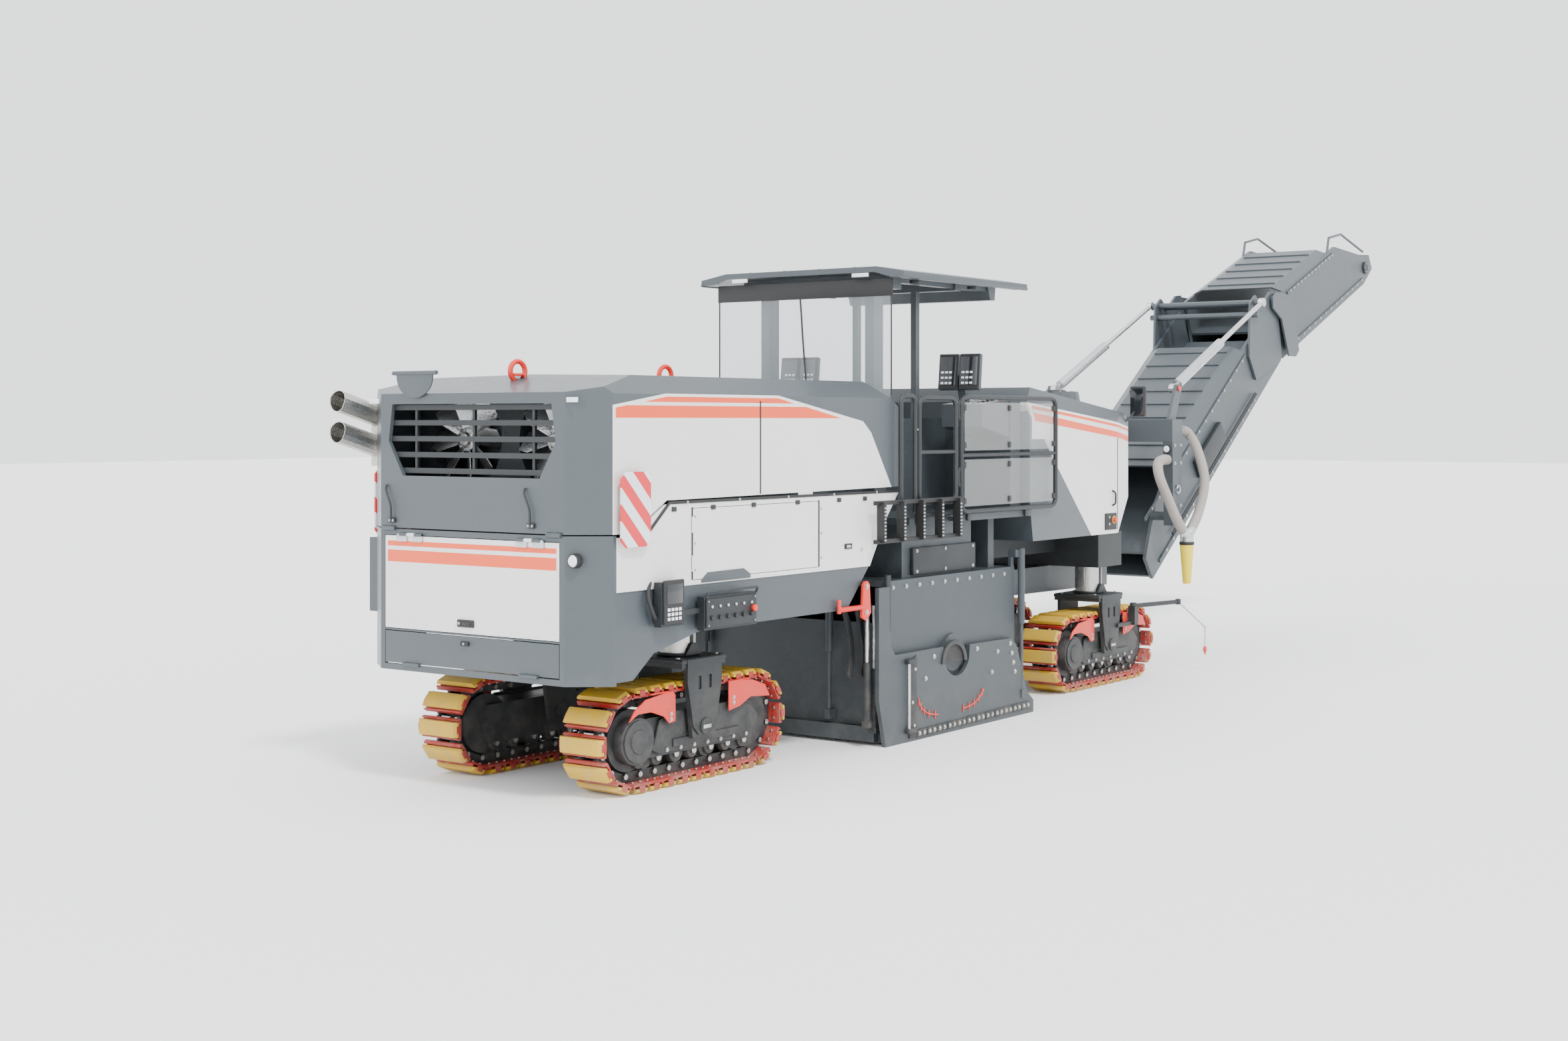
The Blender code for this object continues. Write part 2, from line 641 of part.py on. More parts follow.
# engine, coolers and fans
def cooler_pack():
    front = COOLER_REAR + 0.30
    pack = box((COOLER_REAR, front), (-1.0, 1.0), (FRAME_TOP + GAP, 3.02))
    wells = [disc((COOLER_REAR, side * FAN_Y, FAN_Z), "X", FAN_RADIUS + 0.02, 0.24, 20) for side in (1, -1)]
    hubs = [disc((COOLER_REAR + 0.11, side * FAN_Y, FAN_Z), "X", 0.08, 0.06, 12) for side in (1, -1)]
    return fuse([cut(pack, wells), *hubs])


def fan(side):
    """Hub and seven set blades."""
    hub_front = COOLER_REAR + 0.08 - GAP
    centre = Vector((0.0, side * FAN_Y, FAN_Z))
    pieces = [disc((hub_front - 0.05, centre.y, centre.z), "X", 0.09, 0.10, 14)]
    for number in range(7):
        blade = prism([(0.06, -0.045), (FAN_RADIUS, -0.085), (FAN_RADIUS, 0.085), (0.06, 0.045)], "X", -0.004, 0.004)
        turn = Matrix.Rotation(2 * math.pi * number / 7, 4, "X")
        pitch = Matrix.Rotation(math.radians(32), 4, "Y")
        blade.data.transform(Matrix.Translation((hub_front - 0.05, centre.y, centre.z)) @ turn @ pitch)
        pieces.append(blade)
    return fuse(pieces)


name_part(box((ENGINE_X - ENGINE_SIZE[0] / 2, ENGINE_X + ENGINE_SIZE[0] / 2), (-ENGINE_SIZE[1] / 2, ENGINE_SIZE[1] / 2),
              (FRAME_TOP + GAP, FRAME_TOP + ENGINE_SIZE[2])), "engine_block", "grey")
name_part(cooler_pack(), "cooler_pack", "dark")
for hand, side in (("right", -1), ("left", 1)):
    pivot(f"fan_{hand}", (COOLER_REAR, side * FAN_Y, FAN_Z))
    name_part(fan(side), f"fan_{hand}", "silver", f"fan_{hand}")


# ---- lower side panels with their service doors ----
def lower_side(side):
    low, high = span(side, BODY_HALF - SKIN, BODY_HALF)
    panel = prism([(FRAME_REAR + GAP, PANEL_BOTTOM), (PANEL_FRONT, PANEL_BOTTOM), (2.09, 1.93), (2.28, PANEL_TOP),
                   (-0.69, PANEL_TOP), (-1.06, HOOD_SPLIT - 0.02), (FRAME_REAR + GAP, HOOD_SPLIT - 0.02)], "Y", low, high)
    way = box((DOOR_REAR, DOOR_FRONT), (low - 0.1, high + 0.1), (PANEL_BOTTOM + 0.035, PANEL_TOP - 0.035))
    door = box((DOOR_REAR + 0.005, DOOR_FRONT - 0.005), (low, high), (PANEL_BOTTOM + 0.04, PANEL_TOP - 0.04))
    panel = cut(panel, [way])
    axis_y = side * (BODY_HALF + 0.004)
    for z in (PANEL_BOTTOM + 0.10, PANEL_TOP - 0.22):
        panel, door = hinge(panel, door, (DOOR_REAR + 0.002, axis_y, z), (DOOR_REAR + 0.002, axis_y, z + 0.12), 0.011)
    return panel, door


for hand, side in (("right", -1), ("left", 1)):
    pivot(f"service_door_{hand}", (DOOR_REAR + 0.002, side * (BODY_HALF + 0.004), 0.0))
    panel, door = lower_side(side)
    name_part(panel, f"lower_side_{hand}", "white")
    name_part(door, f"service_door_{hand}", "white", f"service_door_{hand}")


def side_skirt(side):
    """Dark skirt under the side panels, with outriggers to the main frame."""
    low, high = span(side, BODY_HALF - 0.055, BODY_HALF - 0.01)
    plate = prism([(FRAME_REAR + GAP, POST_BOTTOM + 0.02), (-1.02, POST_BOTTOM + 0.02), (-0.80, 1.08), (-0.26, SKIRT_BOTTOM),
                   (1.55, SKIRT_BOTTOM), (PANEL_FRONT, PANEL_BOTTOM - GAP), (FRAME_REAR + GAP, PANEL_BOTTOM - GAP)],
                  "Y", low, high)
    arms = [box((x, x + 0.10), span(side, BEAM_OUT + GAP, BODY_HALF - 0.03), (HOUSING_TOP + 0.06, PANEL_BOTTOM - 0.01))
            for x in (-1.0, 0.75, 1.60)]
    shelf = box((-1.0, 1.7), span(side, BODY_HALF - 0.075, BODY_HALF - 0.03), (PANEL_BOTTOM - 0.06, PANEL_BOTTOM - 0.02))
    return fuse([plate, shelf, *arms])


def warning_board(side):
    """Plate with cut corners on two lugs against the lower side panel."""
    low, high = span(side, BODY_HALF + 0.045, BODY_HALF + 0.06)
    x0, x1, z0, z1, c = -1.21, -0.905, 1.87, 2.41, 0.05
    plate = prism([(x0 + c, z0), (x1 - c, z0), (x1, z0 + c), (x1, z1 - c), (x1 - c, z1), (x0 + c, z1), (x0, z1 - c),
                   (x0, z0 + c)], "Y", low, high)
    lugs = [box((x, x + 0.03), span(side, BODY_HALF + GAP, BODY_HALF + 0.055), (z0 + 0.01, z0 + 0.05))
            for x in (x0 + 0.06, x1 - 0.09)]
    return fuse([plate, *lugs])


def side_controls():
    """Hand control box and switch panel on brackets below the right side."""
    low, high = span(-1, BODY_HALF + 0.02, BODY_HALF + 0.09)
    pieces = [box((-0.83, -0.58), (low, high), (1.275, 1.60)), box((-0.36, 0.25), (low, high), (1.21, 1.46))]
    for x, z in ((-0.74, 1.33), (-0.25, 1.33), (0.10, 1.33)):
        pieces.append(box((x, x + 0.06), span(-1, BODY_HALF - 0.01 + GAP, BODY_HALF + 0.03), (z, z + 0.06)))
    pieces.append(box((-0.60, -0.34), span(-1, BODY_HALF + 0.03, BODY_HALF + 0.05), (1.34, 1.38)))
    return fuse(pieces)


for hand, side in (("right", -1), ("left", 1)):
    name_part(side_skirt(side), f"side_skirt_{hand}", "dark")
    name_part(warning_board(side), f"warning_board_{hand}", "white")
name_part(side_controls(), "side_controls", "dark")
name_part(prism([(-1.17, 1.28), (-0.70, 1.28), (-0.70, 1.80), (-0.78, 1.86), (-1.17, 1.86)], "Y",
                BODY_HALF + GAP, BODY_HALF + 0.16), "left_side_box", "grey")


# ---- milling unit ----
def ram(top, bottom, eye, radius, bore):
    """Barrel of an upright cylinder, closed at the top and bored from below."""
    barrel = rod((*eye, bottom), (*eye, top), radius, 12)
    return cut(barrel, [rod((*eye, bottom - 0.1), (*eye, top - 0.05), bore + GAP, 10)])


PLATE_RAM = (4.24, BODY_HALF + 0.038)   # station and distance from the middle plane
PLATE_RAM_LOW, PLATE_RAM_TOP = 0.86, 1.57
BLADE_RAM = (HOUSING_REAR - 0.10, 0.70)
BLADE_RAM_LOW, BLADE_RAM_TOP = 0.78, 1.38
RAM_ROD = 0.020


def drum_housing():
    """Side walls, roof and front wall round the milling drum, open below and behind."""
    shell = box((HOUSING_REAR, HOUSING_FRONT), (-HOUSING_HALF, HOUSING_HALF), (HOUSING_BOTTOM, HOUSING_TOP))
    inside = box((HOUSING_REAR - 0.1, HOUSING_FRONT - HOUSING_WALL), (-HOUSING_HALF + HOUSING_WALL, HOUSING_HALF - HOUSING_WALL),
                 (HOUSING_BOTTOM - 0.1, HOUSING_TOP - HOUSING_WALL))
    mouth = box((HOUSING_FRONT - 0.2, HOUSING_FRONT + 0.1), (-0.40, 0.40), (0.52, 0.82))
    shell = cut(shell, [inside, mouth])
    pieces = [shell]
    for side in (1, -1):
        for x in (2.36, 3.98):
            pieces.append(box((x, x + 0.10), span(side, HOUSING_HALF - 0.01, PLATE_IN - GAP), (0.44, 0.74)))
        pieces.append(box((PLATE_RAM[0] - 0.10, PLATE_RAM[0] + 0.03), span(side, HOUSING_HALF - 0.03, PLATE_RAM[1]),
                          (PLATE_RAM_TOP - 0.08, PLATE_RAM_TOP - 0.01)))
        pieces.append(box((PLATE_RAM[0] - 0.10, PLATE_RAM[0] - 0.05), span(side, HOUSING_HALF - 0.03, HOUSING_HALF + 0.0),
                          (1.20, PLATE_RAM_TOP - 0.02)))
        pieces.append(ram(PLATE_RAM_TOP, PLATE_RAM_LOW, (PLATE_RAM[0], side * PLATE_RAM[1]), 0.034, RAM_ROD))
        pieces.append(box((BLADE_RAM[0] - 0.05, HOUSING_REAR + 0.05), span(side, BLADE_RAM[1] - 0.05, BLADE_RAM[1] + 0.05),
                          (HOUSING_TOP - 0.045, HOUSING_TOP - 0.003)))
        pieces.append(ram(BLADE_RAM_TOP, BLADE_RAM_LOW, (BLADE_RAM[0], side * BLADE_RAM[1]), 0.036, RAM_ROD))
        pieces.append(disc((3.12, side * (HOUSING_HALF + 0.005), 0.70), "Y", 0.17, 0.036, 16))
    return fuse(pieces)


def side_plate(side):
    """Sliding side plate with its rear guide post, arch notch and the rod of its cylinder."""
    low, high = span(side, PLATE_IN, PLATE_IN + PLATE_THICK)
    arch = [(3.12 + 0.21 * math.cos(a), 0.70 + 0.21 * math.sin(a) * -1)
            for a in (math.radians(20 + 14 * k) for k in range(11))]
    outline = [(2.02, 0.0), (PLATE_FRONT, 0.0), (PLATE_FRONT, 0.12), (4.33, 0.20), (4.14, 0.66), (4.05, 0.74), (3.33, PLATE_TOP - 0.02),
               *arch, (2.90, PLATE_TOP), (2.16, PLATE_TOP), (2.10, 0.84), (2.10, 1.36), (1.92, 1.36), (1.92, 0.40)]
    plate = prism(outline, "Y", low, high)
    foot = PLATE_RAM
    lug = box((foot[0] - 0.03, foot[0] + 0.03), span(side, PLATE_IN + 0.005, PLATE_IN + PLATE_THICK + 0.012), (0.16, 0.24))
    return fuse([plate, lug, rod((foot[0], side * foot[1], 0.20), (foot[0], side * foot[1], 1.08), RAM_ROD, 10)])


def milling_drum():
    """Drum body with its helical flight rings and stub axles."""
    core = rod((DRUM_X, -DRUM_LENGTH / 2, DRUM_Z), (DRUM_X, DRUM_LENGTH / 2, DRUM_Z), DRUM_RADIUS, 20)
    wall = HOUSING_HALF - HOUSING_WALL - GAP
    return fuse([core, rod((DRUM_X, -wall, DRUM_Z), (DRUM_X, wall, DRUM_Z), 0.12, 12)])


def scraper_blade():
    """Blade behind the drum, with stiffeners, lugs and the rods of its two cylinders."""
    front = HOUSING_REAR - GAP
    pieces = [box((front - BLADE_THICK, front), (-HOUSING_HALF, HOUSING_HALF), (0.02, 1.04))]
    pieces.append(box((front - 0.10, front - 0.02), (-HOUSING_HALF + 0.06, HOUSING_HALF - 0.06), (0.03, 0.16)))
    for side in (1, -1):
        pieces.append(box((BLADE_RAM[0] - 0.03, front - 0.02), span(side, BLADE_RAM[1] - 0.03, BLADE_RAM[1] + 0.03), (0.20, 0.28)))
        pieces.append(rod((BLADE_RAM[0], side * BLADE_RAM[1], 0.22), (BLADE_RAM[0], side * BLADE_RAM[1], 0.98), RAM_ROD, 10))
    return fuse(pieces)


name_part(drum_housing(), "drum_housing", "dark")
pivot("milling_drum", (DRUM_X, 0.0, DRUM_Z))
name_part(milling_drum(), "milling_drum", "dark", "milling_drum")
for hand, side in (("right", -1), ("left", 1)):
    pivot(f"side_plate_{hand}", (DRUM_X, side * PLATE_IN, 0.0))
    name_part(side_plate(side), f"side_plate_{hand}", "dark", f"side_plate_{hand}")
pivot("scraper_blade", (HOUSING_REAR, 0.0, 0.0))
name_part(scraper_blade(), "scraper_blade", "dark", "scraper_blade")


# ---- operator platform ----
def rail(points, radius=RAIL_TUBE, sides=8):
    """A tube railing through corner points, as straight tubes with round joints."""
    return [rod(a, b, radius, sides) for a, b in zip(points[:-1], points[1:])]


def frame_of_tube(y, x0, x1, z0, z1, middle=None):
    """A closed rectangular frame of tube in the XZ plane."""
    r = RAIL_TUBE * 0.9
    pieces = [rod((x0, y, z0 - r), (x0, y, z1 + r), RAIL_TUBE, 6), rod((x1, y, z0 - r), (x1, y, z1 + r), RAIL_TUBE, 6),
              rod((x0 - r, y, z0), (x1 + r, y, z0), RAIL_TUBE * 0.96, 6), rod((x0 - r, y, z1), (x1 + r, y, z1), RAIL_TUBE * 0.96, 6)]
    if middle:
        pieces.append(rod((x0, y, middle), (x1, y, middle), RAIL_TUBE * 0.85, 6))
    return pieces


SILL_Z = 1.955
MAST_HALF = (0.070, 0.050)
SLEEVE = 0.018


def platform_deck():
    """Deck plate, side pedestals, mast sleeves and the ladder pins."""
    pieces = [box((DECK_REAR, DECK_FRONT), (-RAIL_Y + RAIL_TUBE + GAP, RAIL_Y - RAIL_TUBE - GAP), (DECK_TOP - DECK_THICK, DECK_TOP))]
    for side in (1, -1):
        pieces.append(box((2.47, 3.58), span(side, 0.72, 1.15), (HOUSING_TOP + GAP, DECK_TOP - DECK_THICK + 0.01)))
        pieces.append(box((3.95, 4.05), span(side, 0.72, 1.10), (HOUSING_TOP + GAP, DECK_TOP - DECK_THICK + 0.01)))
        pieces.append(rod((3.04, side * (RAIL_Y - 0.06), 1.90), (3.04, side * (LADDER_Y - 0.02 - GAP), 1.90), 0.02, 10))
        wide, deep = MAST_HALF[0] + SLEEVE, MAST_HALF[1] + SLEEVE
        pieces.append(box((MAST_X - wide, MAST_X + wide), span(side, MAST_Y - deep, MAST_Y + deep), (HOUSING_TOP + 0.15, 2.95)))
    deck = fuse(pieces)
    wells = []
    for side in (1, -1):
        wells.append(box((MAST_X - MAST_HALF[0] - GAP, MAST_X + MAST_HALF[0] + RUN),
                         span(side, MAST_Y - MAST_HALF[1] - RUN, MAST_Y + MAST_HALF[1] + RUN), (HOUSING_TOP + 0.1, 3.1)))
    return cut(deck, wells)


def railing(side):
    """Fixed railing: rear post, sill and the large front panel's frame; fixed leaves for the gate."""
    y = side * RAIL_Y
    pieces = frame_of_tube(y, GLASS_REAR, GLASS_FRONT, SILL_Z, RAIL_TOP, 2.464)
    pieces += frame_of_tube(y, 2.245, 2.457, SILL_Z, RAIL_TOP)
    pieces.append(rod((2.457, y, SILL_Z), (GLASS_REAR, y, SILL_Z), RAIL_TUBE * 0.9, 6))
    for x in (2.50, 3.30, 4.30):
        pieces.append(box((x, x + 0.06), span(side, RAIL_Y - RAIL_TUBE, RAIL_Y), (DECK_TOP - DECK_THICK, SILL_Z)))
    for z in (2.20, 2.80):
        for low in (z - 0.02, z + 0.12):
            pieces.append(box((GATE_FRONT + 0.045, GLASS_REAR), (y - 0.006, y + 0.006), (low, low + 0.04)))
    return fuse(pieces)


def gate(side):
    y = side * RAIL_Y
    pieces = frame_of_tube(y, GATE_REAR, GATE_FRONT, 2.05, RAIL_TOP - 0.01, 2.50)
    for z in (2.20, 2.80):
        pieces.append(box((GATE_FRONT, GATE_FRONT + 0.045), (y - 0.006, y + 0.006), (z + 0.062, z + 0.078)))
    return fuse(pieces)


def ladder(side):
    """Folded ladder: two rails and five steps, with a boss for its pivot."""
    low, high = span(side, LADDER_Y - 0.02, LADDER_Y + 0.02)
    deep = span(side, LADDER_Y - 0.02, LADDER_Y + 0.06)
    pieces = [box((LADDER_REAR, LADDER_FRONT), (low, high), (LADDER_TOP - 0.035, LADDER_TOP)),
              box((LADDER_REAR, LADDER_FRONT), (low, high), (LADDER_BOTTOM, LADDER_BOTTOM + 0.035))]
    for number in range(5):
        x = LADDER_REAR + 0.05 + number * 0.29
        pieces.append(box((x, x + 0.03), deep, (LADDER_BOTTOM + 0.01, LADDER_TOP - 0.01)))
    pieces.append(box((3.01, 3.07), (low, high), (LADDER_BOTTOM + 0.01, LADDER_TOP - 0.01)))
    return fuse(pieces)


for hand, side in (("right", -1), ("left", 1)):
    pivot(f"gate_{hand}", (GATE_FRONT + 0.045, side * RAIL_Y, 0.0))
    pivot(f"ladder_{hand}", (3.04, side * LADDER_Y, 1.90))
    fixed, swing = railing(side), gate(side)
    for z in (2.20, 2.80):
        spot = (GATE_FRONT + 0.045, side * RAIL_Y)
        fixed, swing = hinge(fixed, swing, (*spot, z), (*spot, z + 0.14), 0.013)
    name_part(fixed, f"railing_{hand}", "dark")
    name_part(swing, f"gate_{hand}", "dark", f"gate_{hand}")
    name_part(ladder(side), f"ladder_{hand}", "dark", f"ladder_{hand}")
name_part(platform_deck(), "platform_deck", "dark")


def operator_console():
    """Dash across the front of the deck, side desks with screens and the middle island."""
    base = DECK_TOP + GAP
    wide = 1.18
    pieces = [box((4.22, 4.40), (-wide, wide), (base, 2.96)),
              box((3.50, 4.25), (-0.44, 0.44), (base, 2.80))]
    for side in (1, -1):
        pieces.append(prism([(3.74, 2.72), (4.24, 2.62), (4.24, 2.98), (3.74, 2.93)], "Y", *span(side, 0.72, 1.17)))
        for inner, outer in ((0.72, 0.93), (0.95, 1.17)):
            pieces.append(prism([(3.68, 3.07), (3.72, 3.06), (3.75, 3.39), (3.71, 3.40)], "Y", *span(side, inner, outer)))
        pieces.append(prism([(3.78, 2.90), (3.84, 2.90), (3.74, 3.20), (3.70, 3.20)], "Y", *span(side, 0.90, 0.98)))
    piece = fuse(pieces)
    wells = [box((POST_X - 0.03 - GAP, POST_X + 0.03 + RUN), span(side, POST_Y - 0.03 - RUN, POST_Y + 0.03 + RUN), (base + 0.02, 3.0))
             for side in (1, -1)]
    return cut(piece, wells)


def canopy():
    """Arched roof on two rear masts and two slim front posts that run down into their sleeves."""
    t = 0.05
    low = ROOF_TOP - 0.10
    across = [(-ROOF_HALF, low), (-ROOF_HALF, low + t), (-0.86, ROOF_TOP), (0.86, ROOF_TOP), (ROOF_HALF, low + t), (ROOF_HALF, low),
              (1.02, low), (0.84, ROOF_TOP - t), (-0.84, ROOF_TOP - t), (-1.02, low)]
    roof = prism(across, "X", ROOF_REAR, ROOF_FRONT)
    under = ROOF_TOP - t + 0.01
    pieces = [roof,
              box((MAST_X - 0.09, MAST_X + 0.09), (-0.84, 0.84), (under - 0.14, under)),
              box((POST_X - 0.05, POST_X + 0.05), (-0.84, 0.84), (under - 0.10, under)),
              prism([(4.34, under), (4.40, 3.94), (4.48, 3.94), (4.50, under)], "Y", -0.84, 0.84)]
    for side in (1, -1):
        pieces.append(box((MAST_X - 0.05, 4.42), span(side, 0.74, 0.82), (under - 0.08, under + 0.002)))
        pieces.append(box((MAST_X - MAST_HALF[0], MAST_X + MAST_HALF[0]), span(side, MAST_Y - MAST_HALF[1], MAST_Y + MAST_HALF[1]),
                          (2.15, under - 0.02)))
        pieces.append(box((POST_X - 0.03, POST_X + 0.03), span(side, POST_Y - 0.03, POST_Y + 0.03), (2.53, under - 0.02)))
    return fuse(pieces)


name_part(operator_console(), "operator_console", "grey")
pivot("canopy", (MAST_X, 0.0, ROOF_TOP))
name_part(canopy(), "canopy", "grey", "canopy")


# ---- front body ----
def front_body():
    """Tank body between platform and conveyor, with two filler domes."""
    piece = prism([(NOSE_REAR, 2.00), (4.52, NOSE_BOTTOM), (6.22, NOSE_BOTTOM), (NOSE_FRONT, 1.98), (NOSE_FRONT, 2.78),
                   (6.50, NOSE_TOP_FRONT), (4.62, NOSE_TOP_REAR), (NOSE_REAR, 2.93)], "Y", -1.5, 1.5)
    half = BODY_HALF
    above = prism([(4.0, -half), (6.21, -half), (6.7, -half + 0.12), (6.7, half - 0.12), (6.21, half), (4.0, half)], "Z", 1.0, 3.5)
    across = prism([(-half, 1.0), (half, 1.0), (half, 2.80), (half - 0.16, 3.3), (-half + 0.16, 3.3), (-half, 2.80)], "X", 4.0, 7.0)
    piece = combine(piece, [above, across], "INTERSECT")
    for side in (1, -1):
        piece = fuse([piece, rod((6.05, side * 0.60, 2.80), (6.05, side * 0.60, 3.08), 0.29, 16, 0.24)])
    return piece


def swivel_mount():
    """Bracket on the front body with the kingpin that carries the swivel frame."""
    back = NOSE_FRONT + GAP
    top = SWIVEL_BOTTOM - GAP
    plate = prism([(back, -0.36), (SLEW_X + 0.05, -0.20), (SLEW_X + 0.18, 0.0), (SLEW_X + 0.05, 0.20), (back, 0.36)], "Z", top - 0.10, top)
    web = prism([(back, 2.02), (back + 0.06, 2.02), (back + 0.26, top - 0.05), (back, top - 0.05)], "Y", -0.30, 0.30)
    return fuse([plate, web, rod((SLEW_X, 0.0, top - 0.05), (SLEW_X, 0.0, SWIVEL_TOP + 0.05), 0.09, 12)])


def primary_conveyor():
    """Loading conveyor trunk from the drum housing forward, open at both ends."""
    rear = HOUSING_FRONT + GAP
    t = SKIN
    outer = [(rear, 0.47), (5.28, 0.99), (7.46, 0.96), (7.46, FRAME_BOTTOM - GAP), (5.13, FRAME_BOTTOM - GAP), (rear, 0.86)]
    inner = [(rear - 0.1, 0.47 + t - 0.047), (5.27, 0.99 + t), (7.56, 0.96 + t), (7.56, FRAME_BOTTOM - 0.005 - t),
             (5.14, FRAME_BOTTOM - 0.005 - t), (rear - 0.1, 0.83 - 0.042)]
    return cut(prism(outer, "Y", -DUCT_HALF, DUCT_HALF), [prism(inner, "Y", -DUCT_HALF + t, DUCT_HALF - t)])


name_part(front_body(), "front_body", "white")
name_part(swivel_mount(), "swivel_mount", "dark")
name_part(primary_conveyor(), "primary_conveyor", "dark")


# ---- discharge conveyor ----
def at_lower(u, n):
    """A point of the lower conveyor, given along it and square to it from the lift axis."""
    return turned((u, n), LOWER_ANGLE, (LIFT_X, LIFT_Z))


FOLD = at_lower(FOLD_U, FOLD_N)
CYL_EYE = at_lower(CYL_EYE_U, CYL_EYE_N)
UPPER_START = 0.12
HINGE_PLATE_IN = 0.70


def at_upper(v, m):
    """A point of the upper conveyor, given along it and square to it from the fold axis."""
    return turned((v, m), UPPER_ANGLE, FOLD)


def lower_prism(points, low, high):
    return prism([at_lower(*p) for p in points], "Y", low, high)


def upper_prism(points, low, high):
    return prism([at_upper(*p) for p in points], "Y", low, high)


def swivel_frame():
    """Collar on the kingpin, cross beam, two posts and the feet of the lift cylinders."""
    collar = [disc((SLEW_X, 0.0, (SWIVEL_BOTTOM + SWIVEL_TOP) / 2), "Z", 0.24, SWIVEL_TOP - SWIVEL_BOTTOM, 16),
              box((SLEW_X, 8.15), (-0.20, 0.20), (SWIVEL_BOTTOM + 0.002, SWIVEL_TOP - 0.002)),
              box((8.05, 8.30), (-POST_OUT, POST_OUT), (SWIVEL_BOTTOM, SWIVEL_TOP))]
    for side in (1, -1):
        collar.append(prism([(8.05, SWIVEL_TOP - 0.01), (8.30, SWIVEL_TOP - 0.01), (8.28, 2.20), (8.27, 1.60), (8.07, 1.60), (8.06, 2.20)],
                            "Y", *span(side, POST_IN, POST_OUT)))
        collar.append(prism([(8.14, SWIVEL_TOP - 0.02), (8.30, SWIVEL_TOP - 0.02), (8.45, 3.12), (8.43, 3.19), (8.34, 3.19)],
                            "Y", *span(side, CYL_Y + EYE_HALF + GAP, CYL_Y + 0.07)))
    piece = fuse(collar)
    return cut(piece, [disc((SLEW_X, 0.0, SWIVEL_TOP), "Z", 0.09 + RUN, 0.7, 12)])


def conveyor_lower():
    """Side walls, bottom sheet and belt of the lower section, with fold plates and cross tubes."""
    u0, u1, under, top = LOWER_START, LOWER_END, LOWER_UNDER, LOWER_COVER
    wall = [(u0, under), (u1, under), (u1 + 0.08, top - 0.02), (u1 + 0.04, top), (0.55, top), (0.10, top - 0.12), (u0, under + 0.30)]
    pieces = []
    for side in (1, -1):
        pieces.append(lower_prism(wall, *span(side, BELT_HALF, BELT_HALF + WALL)))
        plate = [(u1 - 0.84, -0.30), (u1 - 0.16, -0.52), (u1 - 0.02, -0.50), (FOLD_U + 0.10, 0.10), (FOLD_U + 0.12, 0.30),
                 (FOLD_U, 0.37), (u1 - 0.16, 0.36), (CYL_EYE_U + 0.09, 0.57), (CYL_EYE_U - 0.09, 0.57), (u1 - 0.84, 0.05)]
        pieces.append(lower_prism(plate, *span(side, BELT_HALF + WALL + RUN, BELT_HALF + WALL + 0.036)))
        pieces.append(lower_prism([(u1 - 0.82, -0.29), (u1 - 0.18, -0.50), (u1 - 0.06, -0.40), (u1 - 0.06, 0.05), (u1 - 0.82, 0.04)],
                                  *span(side, BELT_HALF + WALL - 0.01, BELT_HALF + WALL + 0.02)))
        ends = span(side, BELT_HALF + WALL - 0.02, POST_IN - GAP)
        pieces.append(rod((LIFT_X, ends[0], LIFT_Z), (LIFT_X, ends[1], LIFT_Z), 0.05, 12))
        ends = span(side, BELT_HALF + WALL + 0.01, HINGE_PLATE_IN - GAP)
        pieces.append(rod((FOLD[0], ends[0], FOLD[1]), (FOLD[0], ends[1], FOLD[1]), 0.045, 12))
    inner = BELT_HALF + 0.01
    pieces.append(lower_prism([(u0 + 0.02, under + 0.005), (u1 - 0.005, under + 0.005), (u1 - 0.005, under + 0.03), (u0 + 0.02, under + 0.03)],
                              -inner, inner))
    pieces.append(lower_prism([(u0 + 0.10, -0.30), (u1 - 0.01, -0.30), (u1 - 0.01, -0.26), (u0 + 0.10, -0.26)], -inner, inner))
    reach = CYL_Y - EYE_HALF - GAP
    for u, n in ((CYL_EYE_U, CYL_EYE_N), (CYL_EYE_U + 0.12, CYL_EYE_N - 0.10), (CYL_EYE_U - 0.12, CYL_EYE_N - 0.10)):
        x, z = at_lower(u, n)
        pieces.append(rod((x, -reach, z), (x, reach, z), 0.036, 10))
    return fuse(pieces)


def conveyor_lower_cover():
    """Ridged cover on the side walls."""
    outer = [(BELT_HALF + WALL, 0.0), (BELT_HALF - 0.10, 0.075), (-BELT_HALF + 0.10, 0.075), (-BELT_HALF - WALL, 0.0),
             (-BELT_HALF - WALL + 0.05, 0.0), (-BELT_HALF + 0.12, 0.055), (BELT_HALF - 0.12, 0.055), (BELT_HALF + WALL - 0.05, 0.0)]
    return slanted_section(outer, at_lower, 0.60, LOWER_END - COVER_SHORT, LOWER_COVER + GAP)


def slanted_section(outline, place, start, end, height):
    """An outline across the conveyor (Y, rise) drawn out along it."""
    shape = bmesh.new()
    rings = []
    for u in (start, end):
        ring = []
        for y, rise in outline:
            x, z = place(u, height + rise)
            ring.append(shape.verts.new((x, y, z)))
        rings.append(ring)
    count = len(outline)
    for k in range(count):
        a, b = k, (k + 1) % count
        shape.faces.new((rings[0][a], rings[0][b], rings[1][b], rings[1][a]))
    shape.faces.new(rings[0][::-1])
    shape.faces.new(rings[1])
    return solid(shape)


